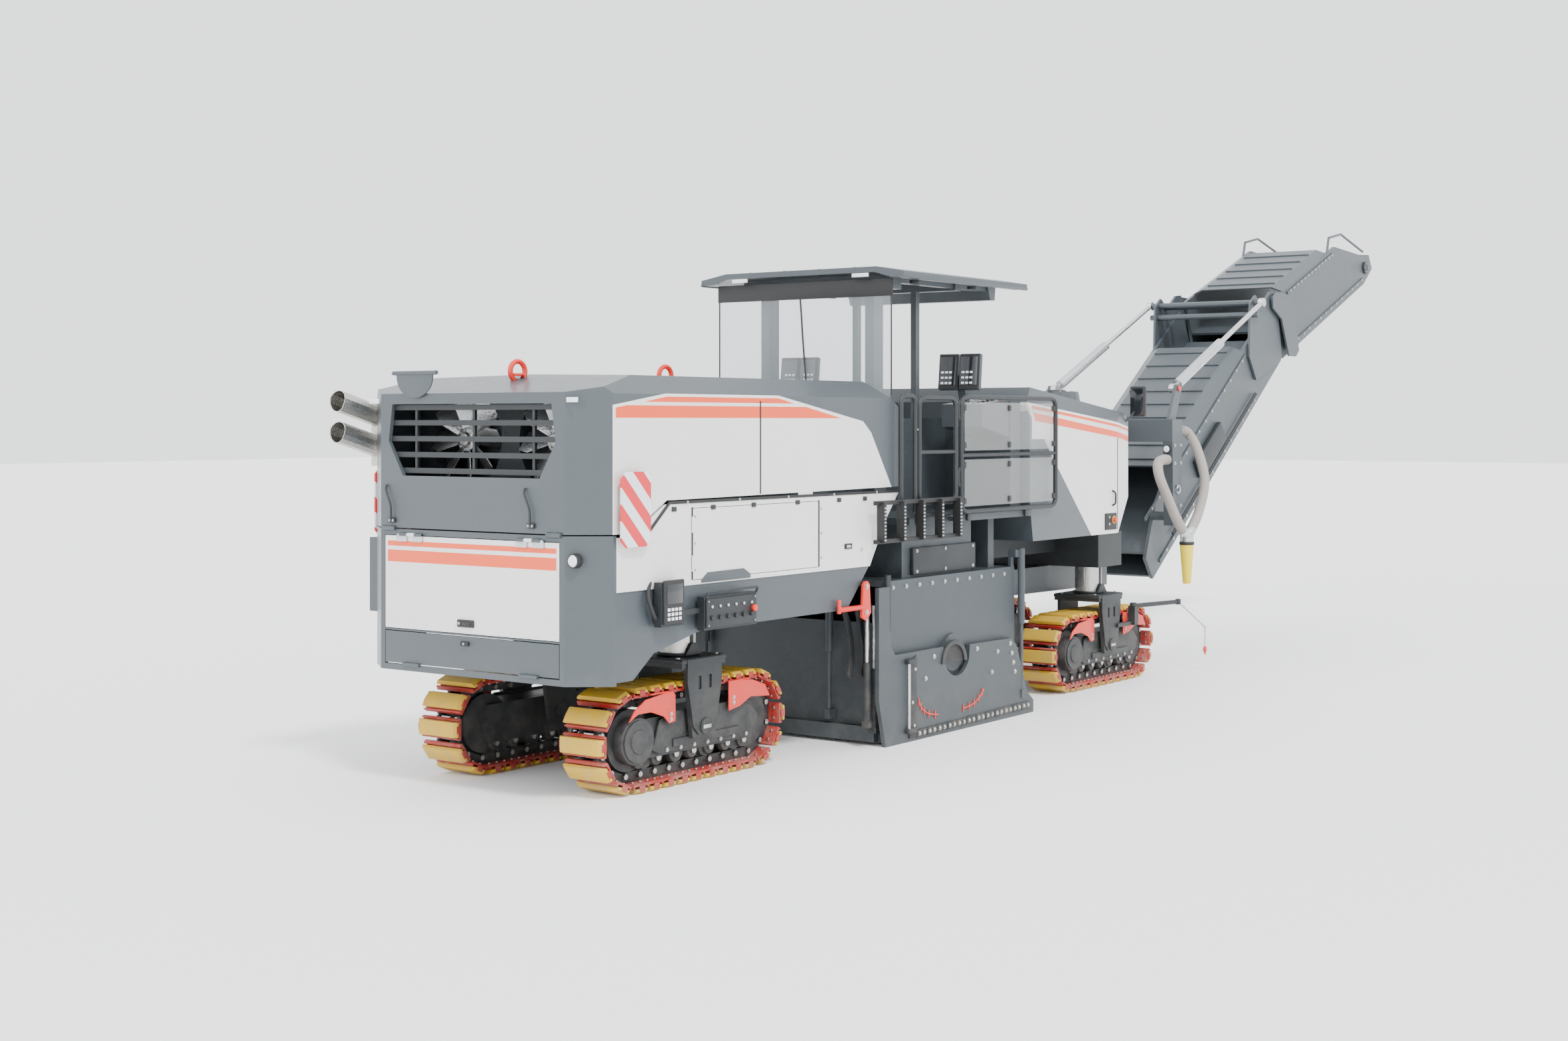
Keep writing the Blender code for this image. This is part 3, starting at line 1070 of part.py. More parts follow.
def conveyor_upper():
    """Side walls, bottom sheet, belt, head drum, fold plates and the guard loops at the tip."""
    under, top, length = UPPER_UNDER, UPPER_COVER, UPPER_LENGTH
    wall = [(UPPER_START, under), (length - 0.38, under), (length, under + 0.10), (length - 0.04, -0.52), (3.10, -0.40), (2.30, top),
            (UPPER_START, top)]
    pieces = []
    for side in (1, -1):
        pieces.append(upper_prism(wall, *span(side, BELT_HALF, BELT_HALF + WALL)))
        plate = [(-0.10, -0.08), (-0.06, 0.05), (0.10, 0.06), (0.46, -0.10), (0.52, -0.45), (0.46, -0.86), (0.34, -0.90), (0.14, -0.82), (0.10, -0.30)]
        pieces.append(upper_prism(plate, *span(side, HINGE_PLATE_IN, HINGE_PLATE_IN + 0.025)))
        pieces.append(upper_prism([(0.36, -0.80), (0.46, -0.80), (0.46, -0.15), (0.36, -0.15)], *span(side, BELT_HALF + WALL - 0.01, HINGE_PLATE_IN + 0.01)))
        loop = [(2.05, top - 0.02), (2.20, 0.13), (2.62, 0.05), (3.30, -0.42)]
        y = side * (BELT_HALF + WALL / 2)
        spots = [at_upper(*p) for p in loop]
        pieces += rail([(x, y, z) for x, z in spots], 0.017, 6)
    inner = BELT_HALF + 0.01
    for low in (under + 0.005, -0.50):
        pieces.append(upper_prism([(UPPER_START + 0.01, low), (length - 0.40, low), (length - 0.40, low + 0.03), (UPPER_START + 0.01, low + 0.03)],
                                  -inner, inner))
    x, z = at_upper(length - 0.26, -0.64)
    pieces.append(rod((x, -inner, z), (x, inner, z), 0.17, 14))
    return fuse(pieces)


def conveyor_upper_cover():
    outer = [(BELT_HALF + WALL, 0.0), (BELT_HALF - 0.10, 0.06), (-BELT_HALF + 0.10, 0.06), (-BELT_HALF - WALL, 0.0),
             (-BELT_HALF - WALL + 0.05, 0.0), (-BELT_HALF + 0.12, 0.045), (BELT_HALF - 0.12, 0.045), (BELT_HALF + WALL - 0.05, 0.0)]
    return slanted_section(outer, at_upper, 0.42, 2.0, UPPER_COVER + GAP)


CYL_ANGLE = math.degrees(math.atan2(CYL_EYE[1] - CYL_FOOT[1], CYL_EYE[0] - CYL_FOOT[0]))
CYL_LENGTH = math.hypot(CYL_EYE[1] - CYL_FOOT[1], CYL_EYE[0] - CYL_FOOT[0])
BARREL_START = 0.12
ROD_START = 0.34


def along_cylinder(distance, side):
    x, z = turned((distance, 0.0), CYL_ANGLE, CYL_FOOT)
    return (x, side * CYL_Y, z)


def lift_barrel(side):
    """Barrel on a neck with its eye at the foot, bored from the rod's end."""
    piece = fuse([rod(along_cylinder(BARREL_START, side), along_cylinder(BARREL_LENGTH, side), BARREL_RADIUS, 12),
                  rod(along_cylinder(0.0, side), along_cylinder(BARREL_START + 0.02, side), 0.026, 10),
                  disc(along_cylinder(0.0, side), "Y", 0.055, 2 * EYE_HALF, 12)])
    return cut(piece, [rod(along_cylinder(BARREL_START + 0.04, side), along_cylinder(BARREL_LENGTH + 0.1, side), ROD_RADIUS + GAP, 10)])


def lift_rod(side):
    return fuse([rod(along_cylinder(ROD_START, side), along_cylinder(CYL_LENGTH, side), ROD_RADIUS, 10),
                 disc(along_cylinder(CYL_LENGTH, side), "Y", 0.055, 2 * EYE_HALF, 12)])


pivot("swivel_frame", (SLEW_X, 0.0, SWIVEL_BOTTOM))
pivot("conveyor_lower", (LIFT_X, 0.0, LIFT_Z))
pivot("conveyor_upper", (FOLD[0], 0.0, FOLD[1]))
name_part(swivel_frame(), "swivel_frame", "dark", "swivel_frame")
name_part(conveyor_lower(), "conveyor_lower", "grey", "conveyor_lower")
name_part(conveyor_lower_cover(), "conveyor_lower_cover", "grey", "conveyor_lower")
name_part(conveyor_upper(), "conveyor_upper", "grey", "conveyor_upper")
name_part(conveyor_upper_cover(), "conveyor_upper_cover", "grey", "conveyor_upper")
for hand, side in (("right", -1), ("left", 1)):
    for kind, make in (("barrel", lift_barrel), ("rod", lift_rod)):
        pivot(f"lift_{kind}_{hand}", along_cylinder(0.0, side))
        name_part(make(side), f"lift_{kind}_{hand}", "steel" if kind == "rod" else "dark", f"lift_{kind}_{hand}")


# dust hoses on the right post of the swivel frame
JOINT = (8.17, -1.06, 1.50)


def hose_joint():
    """Y-shaped branch with its bracket on the post and the outlet sock below."""
    x, y, z = JOINT
    arms = [rod((x, y, z - 0.04), (x - 0.13, y, z + 0.07), 0.068, 12), rod((x, y, z - 0.04), (x + 0.13, y, z + 0.07), 0.068, 12),
            rod((x, y, z), (x, y, z - 0.17), 0.068, 12), rod((x, y, z - 0.14), (x, y, z - 0.56), 0.062, 12, 0.045),
            prism([(x - 0.05, 1.60 - GAP), (x + 0.05, 1.60 - GAP), (x + 0.05, 1.55), (x - 0.05, 1.55)], "Y", y + 0.02, -POST_IN - 0.01),
            box((x - 0.05, x + 0.05), (y - 0.02, y + 0.06), (1.46, 1.59))]
    return fuse(arms)


def dust_hose(kind):
    x, y, z = JOINT
    face = -POST_OUT
    if kind == "inner":
        route = [(x - 0.10, y, z + 0.045), (7.90, y + 0.0, 1.70), (7.72, -1.04, 1.95), (7.66, -0.98, 2.16), (7.78, -0.90, 2.30),
                 (7.94, -0.88, 2.34), (8.045, -0.88, 2.34)]
    else:
        route = [(x + 0.10, y, z + 0.045), (8.48, y, 1.76), (8.58, y - 0.02, 2.10), (8.56, -1.00, 2.44), (8.49, -0.92, 2.63), (8.38, -0.88, 2.67), (8.306, -0.88, 2.67)]
    return tube_path(smooth_route(route, 18), 0.058)


name_part(fuse([hose_joint(), dust_hose("inner"), dust_hose("outer")]), "dust_hoses", "hose", "swivel_frame")


def sensor_arm():
    """Edge tracing arm: tube, cranked rod and hanging plumb line."""
    px, py, pz = ARM_PIVOT
    tip = (8.20, -1.27, 0.47)
    pieces = [rod((px, py, pz + GAP), (px, py, pz + 0.075), 0.03, 10), rod((px - 0.10, py, pz + 0.045), (7.60, -1.24, 0.80), 0.022, 8),
              rod((7.58, -1.24, 0.802), tip, 0.012, 6), rod((tip[0], tip[1], tip[2] + 0.02), (tip[0], tip[1], 0.16), 0.008, 6),
              rod((tip[0], tip[1], 0.24), (tip[0], tip[1], 0.17), 0.022, 8)]
    return fuse(pieces)


pivot("sensor_arm", ARM_PIVOT)
name_part(sensor_arm(), "sensor_arm", "dark", "sensor_arm")
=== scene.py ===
import math

import bpy
from bpy.props import FloatProperty, FloatVectorProperty, PointerProperty
from mathutils import Matrix, Vector


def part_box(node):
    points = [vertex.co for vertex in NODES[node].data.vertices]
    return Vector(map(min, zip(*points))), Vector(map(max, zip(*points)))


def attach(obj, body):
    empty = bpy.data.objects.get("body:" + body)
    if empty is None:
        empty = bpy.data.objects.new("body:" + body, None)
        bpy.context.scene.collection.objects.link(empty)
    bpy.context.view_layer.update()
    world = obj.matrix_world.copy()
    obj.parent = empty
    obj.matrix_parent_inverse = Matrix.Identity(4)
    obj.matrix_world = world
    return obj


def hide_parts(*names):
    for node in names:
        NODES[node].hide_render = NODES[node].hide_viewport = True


bl_info = {
    "name": "Cold planer",
    "version": (1, 0, 0),
    "blender": (4, 5, 0),
    "location": "3D View > Sidebar > Planer",
    "description": "Builds the visible detail of a four-track road milling machine over its jointed frame",
    "category": "Object",
}

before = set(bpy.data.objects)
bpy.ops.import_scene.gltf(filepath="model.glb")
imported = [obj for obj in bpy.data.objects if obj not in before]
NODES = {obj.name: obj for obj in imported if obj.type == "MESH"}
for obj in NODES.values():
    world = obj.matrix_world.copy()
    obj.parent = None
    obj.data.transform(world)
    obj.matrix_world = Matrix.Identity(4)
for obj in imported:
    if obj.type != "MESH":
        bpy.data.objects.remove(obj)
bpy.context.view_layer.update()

ORIGIN = 6.65          # distance from the rear steering axis to the world origin
FRONT_AXIS = 6.46      # front steering axis
TRACK_Y = 0.76
LIFT = (8.17, 1.7)     # lift axis of the conveyor in XZ
PLATE_FACE = 1.302     # outer face of the side plates
GANTRY_FACE = 0.941    # outer face of the swivel frame
LOWER_TURN, UPPER_TURN = 36.0, 22.0


# ---- modelling tools ----
def bare():
    bpy.ops.object.select_all(action="DESELECT")


def only(piece):
    bare()
    piece.select_set(True)
    bpy.context.view_layer.objects.active = piece
    return piece


def settle(piece):
    """Put a piece's place and turn into its mesh."""
    only(piece)
    bpy.ops.object.transform_apply(location=True, rotation=True, scale=True)
    return piece


def bevel(piece, width, steps=2, angle=35):
    only(piece)
    edges = piece.modifiers.new("edges", "BEVEL")
    edges.width = width
    edges.segments = steps
    edges.limit_method = "ANGLE"
    edges.angle_limit = math.radians(angle)
    bpy.ops.object.modifier_apply(modifier=edges.name)
    return piece


def block(x, y, z, edge=0.004, steps=2):
    """A box from its three ranges, with rounded edges."""
    bare()
    middle = [(a + b) / 2 for a, b in (x, y, z)]
    size = [abs(b - a) for a, b in (x, y, z)]
    bpy.ops.mesh.primitive_cube_add(size=1, location=middle, scale=size)
    piece = settle(bpy.context.object)
    return bevel(piece, min(edge, min(size) * 0.45), steps) if edge else piece


def bar(start, end, radius, sides=16, end_radius=None, edge=0.0):
    bare()
    start, end = Vector(start), Vector(end)
    along = end - start
    bpy.ops.mesh.primitive_cone_add(vertices=sides, radius1=radius, radius2=radius if end_radius is None
            else end_radius, depth=along.length, location=(start + end) / 2,
            rotation=along.to_track_quat("Z", "Y").to_euler())
    piece = settle(bpy.context.object)
    return bevel(piece, edge, 2, 50) if edge else piece


def curve_piece(name, splines, **settings):
    curve = bpy.data.curves.new(name, "CURVE")
    for key, value in settings.items():
        setattr(curve, key, value)
    for points, closed in splines:
        line = curve.splines.new("POLY")
        line.points.add(len(points) - 1)
        for place, point in zip(line.points, points):
            place.co = (*point, 1.0) if len(point) == 3 else (*point, 0.0, 1.0)
        line.use_cyclic_u = closed
    holder = bpy.data.objects.new(name, curve)
    bpy.context.scene.collection.objects.link(holder)
    return holder


def meshed(holder):
    only(holder)
    bpy.ops.object.convert(target="MESH")
    piece = bpy.context.object
    bpy.ops.object.mode_set(mode="EDIT")
    bpy.ops.mesh.select_all(action="SELECT")
    bpy.ops.mesh.remove_doubles(threshold=0.00002)
    bpy.ops.mesh.normals_make_consistent(inside=False)
    bpy.ops.object.mode_set(mode="OBJECT")
    return piece


def plate(outline, axis, low, high, edge=0.003, holes=()):
    """A flat plate with rounded rims: outline in XZ for Y, YZ for X and XY for Z."""
    edge = min(edge, (high - low) * 0.4)
    holder = curve_piece("plate", [(outline, True)] + [(hole, True) for hole in holes], dimensions="2D",
            fill_mode="BOTH", extrude=(high - low) / 2 - edge, bevel_depth=edge, offset=-edge,
            bevel_resolution=1)
    middle = (low + high) / 2
    holder.location, holder.rotation_euler = {
        "Y": ((0, middle, 0), (math.pi / 2, 0, 0)),
        "X": ((middle, 0, 0), (math.pi / 2, 0, math.pi / 2)),
        "Z": ((0, 0, middle), (0, 0, 0)),
    }[axis]
    return settle(meshed(holder))


def rounded(points, radius, closed=False, steps=4):
    """Points of a path with its corners rounded."""
    points = [Vector(p) for p in points]
    count = len(points)
    path = []
    for k, point in enumerate(points):
        if not closed and k in (0, count - 1):
            path.append(point)
            continue
        before, after = points[k - 1] - point, points[(k + 1) % count] - point
        reach = min(radius, before.length * 0.45, after.length * 0.45)
        a, b = point + before.normalized() * reach, point + after.normalized() * reach
        for step in range(steps + 1):
            t = step / steps
            path.append((1 - t) ** 2 * a + 2 * t * (1 - t) * point + t * t * b)
    return path


def pipe(points, radius, corner=0.0, closed=False, fine=2):
    path = rounded(points, corner, closed) if corner else [Vector(p) for p in points]
    holder = curve_piece("pipe", [(path, closed)], dimensions="3D", bevel_depth=radius,
            bevel_resolution=fine, use_fill_caps=not closed)
    return settle(meshed(holder))


def spline_route(points, count):
    """Points read along a smooth curve through a route."""
    points = [Vector(p) for p in points]
    ends = [2 * points[0] - points[1], *points, 2 * points[-1] - points[-2]]
    route = []
    for step in range(count + 1):
        at = step / count * (len(points) - 1)
        k = min(int(at), len(points) - 2)
        t = at - k
        a, b, c, d = ends[k:k + 4]
        square, cube = 2 * a - 5 * b + 4 * c - d, 3 * b - a - 3 * c + d
        route.append(0.5 * (2 * b + (c - a) * t + square * t ** 2 + cube * t ** 3))
    return route


def paint(piece, name):
    piece.data.materials.clear()
    piece.data.materials.append(MATERIALS[name])
    return piece


def copies(piece, places):
    """Copies of a piece, each with its own mesh; the first one is used up."""
    made = []
    for place in places:
        twin = piece.copy()
        twin.data = piece.data.copy()
        twin.data.transform(place)
        bpy.context.scene.collection.objects.link(twin)
        made.append(twin)
    bpy.data.objects.remove(piece, do_unlink=True)
    return made


def shift(x=0.0, y=0.0, z=0.0):
    return Matrix.Translation((x, y, z))


def together(pieces):
    bare()
    for piece in pieces:
        piece.select_set(True)
    bpy.context.view_layer.objects.active = pieces[0]
    if len(pieces) > 1:
        bpy.ops.object.join()
    return bpy.context.view_layer.objects.active


def done(pieces, name, body="machine", material=None, replaces=(), smooth=32):
    """Join the pieces, move them from stations to the world, shade them and hang them on a body."""
    pieces = pieces if isinstance(pieces, list) else [pieces]
    if material:
        for piece in pieces:
            if not piece.data.materials:
                paint(piece, material)
    piece = together(pieces)
    piece.name = piece.data.name = name
    piece.data.transform(shift(-ORIGIN))
    only(piece)
    bpy.ops.object.shade_smooth_by_angle(angle=math.radians(smooth))
    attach(piece, body)
    if replaces:
        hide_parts(*replaces)
    return piece


def span(side, inner, outer):
    return tuple(sorted((side * inner, side * outer)))


def turned(point, angle, centre=(0.0, 0.0)):
    c, s = math.cos(math.radians(angle)), math.sin(math.radians(angle))
    return (centre[0] + c * point[0] - s * point[1], centre[1] + s * point[0] + c * point[1])


def bolts(places, axis, radius=0.014, high=0.012, washer=True):
    """Hexagon heads on washers; axis is the direction they stand out in."""
    axis = Vector(axis)
    head = bar((0, 0, 0), (0, 0, high), radius, 6)
    parts = [bevel(head, high * 0.15, 1, 60)]
    if washer:
        parts.append(bar((0, 0, -0.001), (0, 0, high * 0.22), radius * 1.45, 12))
    one = together(parts)
    turn = axis.to_track_quat("Z", "Y").to_matrix().to_4x4()
    return copies(one, [Matrix.Translation(p) @ turn for p in places])


SIDES = (("right", -1), ("left", 1))
MATERIALS = {}


# ---- materials ----
def add(tree, kind, links=(), **values):
    """A node with its settings, and links given as (input, socket)."""
    made = tree.nodes.new(kind)
    for key, value in values.items():
        if key.startswith("in_"):
            made.inputs[int(key[3:])].default_value = value
        else:
            setattr(made, key, value)
    for place, socket in links:
        tree.links.new(socket, made.inputs[place])
    return made


def group(name, inputs, outputs):
    tree = bpy.data.node_groups.new(name, "ShaderNodeTree")
    for label, kind, value in inputs:
        tree.interface.new_socket(label, in_out="INPUT", socket_type=kind).default_value = value
    for label, kind in outputs:
        tree.interface.new_socket(label, in_out="OUTPUT", socket_type=kind)
    return tree, tree.nodes.new("NodeGroupInput"), tree.nodes.new("NodeGroupOutput")


def paint_film():
    """Sprayed paint: faint tone drift, orange peel, road dust that gathers low down."""
    tree, given, out = group("paint film", [("Colour", "NodeSocketColor", (0.1, 0.1, 0.1, 1)),
            ("Dust Colour", "NodeSocketColor", (0.33, 0.29, 0.24, 1)),
            ("Dust", "NodeSocketFloat", 0.3), ("Gloss", "NodeSocketFloat", 0.35),
            ("Dust Height", "NodeSocketFloat", 1.1)], [("Colour", "NodeSocketColor"),
            ("Roughness", "NodeSocketFloat"), ("Height", "NodeSocketFloat")])
    where = add(tree, "ShaderNodeTexCoord").outputs["Object"]
    drift = add(tree, "ShaderNodeTexNoise", [(0, where)], in_2=1.3, in_3=4.0)
    peel = add(tree, "ShaderNodeTexNoise", [(0, where)], in_2=210.0, in_3=2.0)
    grime = add(tree, "ShaderNodeTexNoise", [(0, where)], in_2=7.0, in_3=9.0, in_4=0.62)
    tone = add(tree, "ShaderNodeMapRange", [(0, drift.outputs[0])], in_3=0.93, in_4=1.06)
    toned = add(tree, "ShaderNodeVectorMath", [(0, given.outputs[0])], operation="SCALE")
    tree.links.new(tone.outputs[0], toned.inputs[3])
    apart = add(tree, "ShaderNodeSeparateXYZ", [(0, where)])
    low = add(tree, "ShaderNodeMapRange", [(0, apart.outputs[2]), (1, given.outputs[4])], in_2=0.0,
            in_3=0.03, in_4=1.0)
    spread = add(tree, "ShaderNodeMapRange", [(0, grime.outputs[0])], in_1=0.42, in_2=0.68, in_3=0.15,
            in_4=1.0)
    much = add(tree, "ShaderNodeMath", [(0, low.outputs[0]), (1, spread.outputs[0])], operation="MULTIPLY")
    dust = add(tree, "ShaderNodeMath", [(0, much.outputs[0]), (1, given.outputs[2])],
            operation="MULTIPLY", use_clamp=True)
    mixed = add(tree, "ShaderNodeMix", [(0, dust.outputs[0]), (6, toned.outputs[0]),
            (7, given.outputs[1])], data_type="RGBA")
    rough = add(tree, "ShaderNodeMath", [(0, dust.outputs[0]), (1, given.outputs[3])], operation="ADD")
    vary = add(tree, "ShaderNodeMapRange", [(0, grime.outputs[0])], in_3=-0.06, in_4=0.08)
    final = add(tree, "ShaderNodeMath", [(0, rough.outputs[0]), (1, vary.outputs[0])], operation="ADD",
            use_clamp=True)
    for place, socket in ((0, mixed.outputs[2]), (1, final.outputs[0]), (2, peel.outputs[0])):
        tree.links.new(socket, out.inputs[place])
    return tree


def brushed_grain():
    """Fine drawn lines along one axis of a metal, with slight stains."""
    tree, given, out = group("brushed grain", [("Colour", "NodeSocketColor", (0.6, 0.6, 0.6, 1)),
            ("Stretch", "NodeSocketVector", (300.0, 300.0, 6.0)),
            ("Roughness", "NodeSocketFloat", 0.28)], [("Colour", "NodeSocketColor"),
            ("Roughness", "NodeSocketFloat"), ("Height", "NodeSocketFloat")])
    where = add(tree, "ShaderNodeTexCoord").outputs["Object"]
    drawn = add(tree, "ShaderNodeVectorMath", [(0, where), (1, given.outputs[1])], operation="MULTIPLY")
    lines = add(tree, "ShaderNodeTexNoise", [(0, drawn.outputs[0])], in_2=1.0, in_3=3.0)
    stain = add(tree, "ShaderNodeTexNoise", [(0, where)], in_2=5.0, in_3=6.0)
    tone = add(tree, "ShaderNodeMapRange", [(0, stain.outputs[0])], in_3=0.78, in_4=1.12)
    toned = add(tree, "ShaderNodeVectorMath", [(0, given.outputs[0])], operation="SCALE")
    tree.links.new(tone.outputs[0], toned.inputs[3])
    spread = add(tree, "ShaderNodeMapRange", [(0, lines.outputs[0])], in_3=-0.1, in_4=0.14)
    rough = add(tree, "ShaderNodeMath", [(0, spread.outputs[0]), (1, given.outputs[2])],
            operation="ADD", use_clamp=True)
    for place, socket in ((0, toned.outputs[0]), (1, rough.outputs[0]), (2, lines.outputs[0])):
        tree.links.new(socket, out.inputs[place])
    return tree


def livery(name, base, regions, wide=None, beyond=0.0):
    """Flat colour fields, each bounded by lines a*x + b*z < c in stations.
    Where wide is given the lines are a*y + b*z < c.
    They show only where the surface lies further than beyond from the middle plane."""
    tree, _, out = group(name, [], [("Colour", "NodeSocketColor")])
    where = add(tree, "ShaderNodeTexCoord").outputs["Object"]
    moved = add(tree, "ShaderNodeVectorMath", [(0, where)], operation="ADD", in_1=(ORIGIN, 0.0, 0.0))
    apart = add(tree, "ShaderNodeSeparateXYZ", [(0, where)])
    width = add(tree, "ShaderNodeMath", [(0, apart.outputs[1])], operation="ABSOLUTE")
    outside = add(tree, "ShaderNodeMath", [(0, width.outputs[0])], operation="GREATER_THAN",
            in_1=beyond).outputs[0]
    colour = add(tree, "ShaderNodeRGB")
    colour.outputs[0].default_value = (*base, 1.0)
    colour = colour.outputs[0]
    for shade, lines in regions:
        mask = outside
        for a, b, c in lines:
            level = add(tree, "ShaderNodeVectorMath", [(0, moved.outputs[0])], operation="DOT_PRODUCT",
                        in_1=(a, 0.0, b) if wide is None else (0.0, a, b))
            inside = add(tree, "ShaderNodeMath", [(0, level.outputs[1])], operation="LESS_THAN",
                    in_1=c).outputs[0]
            mask = add(tree, "ShaderNodeMath", [(0, mask), (1, inside)], operation="MULTIPLY").outputs[0]
        colour = add(tree, "ShaderNodeMix", [(0, mask), (6, colour)], data_type="RGBA",
                in_7=(*shade, 1.0)).outputs[2]
    tree.links.new(colour, out.inputs[0])
    return tree


def line_under(p, q):
    """a, b, c of the half plane that lies to the right of the way from p to q, in XZ."""
    a, b = -(q[1] - p[1]), q[0] - p[0]
    return (a, b, a * p[0] + b * p[1])


def line_above(p, q):
    a, b, c = line_under(p, q)
    return (-a, -b, -c)


def finish_of(name, colour, gloss, metal=0.0, dust=0.3, peel=0.02, field=None, coat=0.0,
        film="paint film", **inputs):
    """A material on the Principled shader, fed by one of the shared effects."""
    material = bpy.data.materials.new(name)
    material.use_nodes = True
    tree = material.node_tree
    shader = tree.nodes["Principled BSDF"]
    effect = tree.nodes.new("ShaderNodeGroup")
    effect.node_tree = bpy.data.node_groups[film]
    effect.inputs[0].default_value = (*colour, 1.0)
    if film == "paint film":
        effect.inputs[2].default_value = dust
        effect.inputs[3].default_value = gloss
    else:
        effect.inputs[2].default_value = gloss
        effect.inputs[1].default_value = inputs.pop("stretch", (300.0, 300.0, 6.0))
    if field:
        fields = tree.nodes.new("ShaderNodeGroup")
        fields.node_tree = bpy.data.node_groups[field]
        tree.links.new(fields.outputs[0], effect.inputs[0])
    bump = add(tree, "ShaderNodeBump", in_0=0.25, in_1=peel)
    tree.links.new(effect.outputs[2], bump.inputs["Height"])
    tree.links.new(effect.outputs[0], shader.inputs["Base Color"])
    tree.links.new(effect.outputs[1], shader.inputs["Roughness"])
    tree.links.new(bump.outputs[0], shader.inputs["Normal"])
    shader.inputs["Metallic"].default_value = metal
    shader.inputs["Coat Weight"].default_value = coat
    shader.inputs["Coat Roughness"].default_value = 0.12
    for key, value in inputs.items():
        shader.inputs[key.replace("_", " ")].default_value = value
    MATERIALS[name] = material
    return material


def make_materials(looks):
    paint_film()
    brushed_grain()
    white, orange, grey = looks.white[:3], looks.orange[:3], looks.grey[:3]
    cream = (0.46, 0.44, 0.4)
    flank = [(white, [(-1, 0, 1.233), (0, 1, 2.974), line_under((-1.233, 2.888), (-0.712, 2.97)),
            line_under((0.619, 2.977), (1.765, 2.771)), line_under((1.765, 2.771), (1.881, 2.674)),
            line_under((1.881, 2.674), (2.179, 2.206))]), (orange,
            [(0, -1, -2.912), (0, 1, 2.953), line_under((-0.93, 2.91), (-0.683, 2.95)),
            line_under((0.613, 2.958), (0.81, 2.918))]), (orange,
            [(-1, 0, 1.208), (0, -1, -2.796), (0, 1, 2.887), line_under((-1.208, 2.869),
            (-1.114, 2.883)), line_under((0.968, 2.891), (1.442, 2.8))]),]
    livery("hood livery", grey, flank, beyond=1.235)
    livery("door livery", white, [(orange, [(0, 1, 1.866), (0, -1, -1.827), (1, 0, 0.89),
            (-1, 0, 0.89)]), (orange, [(0, 1, 1.797), (0, -1, -1.707), (1, 0, 0.89), (-1, 0, 0.89)])],
            "rear")
    above = line_under((4.4, 2.965), (6.62, 2.715))
    livery("front livery", grey, [(white, [above]), (cream, [above,
            (1.686, 1.0, 1.686 * 5.346 + 1.617)]), (grey, [(1.04, 1.0, 1.04 * 4.547 + 2.777)]),
            (white, [above, (0, -1, -2.6), (-1, 0, -4.5)]), (orange,
            [line_under((4.572, 2.925), (6.411, 2.714)), line_above((4.56, 2.892), (6.411, 2.69)),
            (-1, 0, -4.56)]), (orange, [line_under((4.56, 2.855), (6.5, 2.63)),
            line_above((4.547, 2.777), (6.6, 2.562)), (-1, 0, -4.55)]),])
    finish_of("grey paint", grey, 0.34, 0.15, 0.35, coat=0.15)
    finish_of("hood paint", grey, 0.34, 0.1, 0.2, field="hood livery", coat=0.2)
    finish_of("white paint", white, 0.3, 0.0, 0.12, coat=0.25)
    finish_of("door paint", white, 0.3, 0.0, 0.12, field="door livery", coat=0.25)
    finish_of("front paint", white, 0.3, 0.0, 0.12, field="front livery", coat=0.25)
    finish_of("dark paint", looks.dark[:3], 0.42, 0.2, 0.25)
    finish_of("unit paint", [0.8 * part for part in grey], 0.38, 0.15, 0.14)
    finish_of("black plastic", (0.012, 0.012, 0.013), 0.48, 0.0, 0.2, peel=0.05)
    finish_of("rubber", (0.02, 0.02, 0.021), 0.62, 0.0, 0.5, peel=0.06)
    finish_of("shoe red", (0.36, 0.012, 0.006), 0.42, 0.0, 0.5)
    finish_of("guard red", (0.7, 0.022, 0.006), 0.34, 0.0, 0.25, coat=0.2)
    finish_of("pad yellow", (0.62, 0.37, 0.006), 0.55, 0.0, 0.55, peel=0.12)
    finish_of("safety yellow", (0.8, 0.62, 0.02), 0.4, 0.0, 0.1)
    finish_of("hose cloth", (0.34, 0.31, 0.285), 0.6, 0.0, 0.1, peel=0.05)
    finish_of("lamp glass", (0.85, 0.87, 0.9), 0.12, 0.0, 0.0, peel=0.0)
    board_stripes()
    finish_of("board stripes", (0.8, 0.81, 0.86), 0.35, 0.0, 0.1, field="board stripes")
    finish_of("silver metal", (0.62, 0.63, 0.64), 0.34, 1.0, film="brushed grain", stretch=(50.0, 50.0, 50.0))
    finish_of("belt rubber", (0.016, 0.016, 0.017), 0.72, 0.0, 0.6, peel=0.1)
    finish_of("screen", (0.008, 0.01, 0.014), 0.1, 0.0, 0.0, peel=0.0, coat=0.6)
    finish_of("steel", (0.56, 0.55, 0.52), 0.26, 1.0, film="brushed grain")
    finish_of("chrome", (0.74, 0.74, 0.75), 0.08, 1.0, film="brushed grain")
    clear = finish_of("clear panel", (0.62, 0.64, 0.63), 0.06, 0.0, 0.0, peel=0.0)
    shader = clear.node_tree.nodes["Principled BSDF"]
    shader.inputs["Alpha"].default_value = 0.15
    tinted = finish_of("tinted glass", (0.55, 0.6, 0.62), 0.05, 0.0, 0.0, peel=0.0)
    tinted.node_tree.nodes["Principled BSDF"].inputs["Alpha"].default_value = 0.16


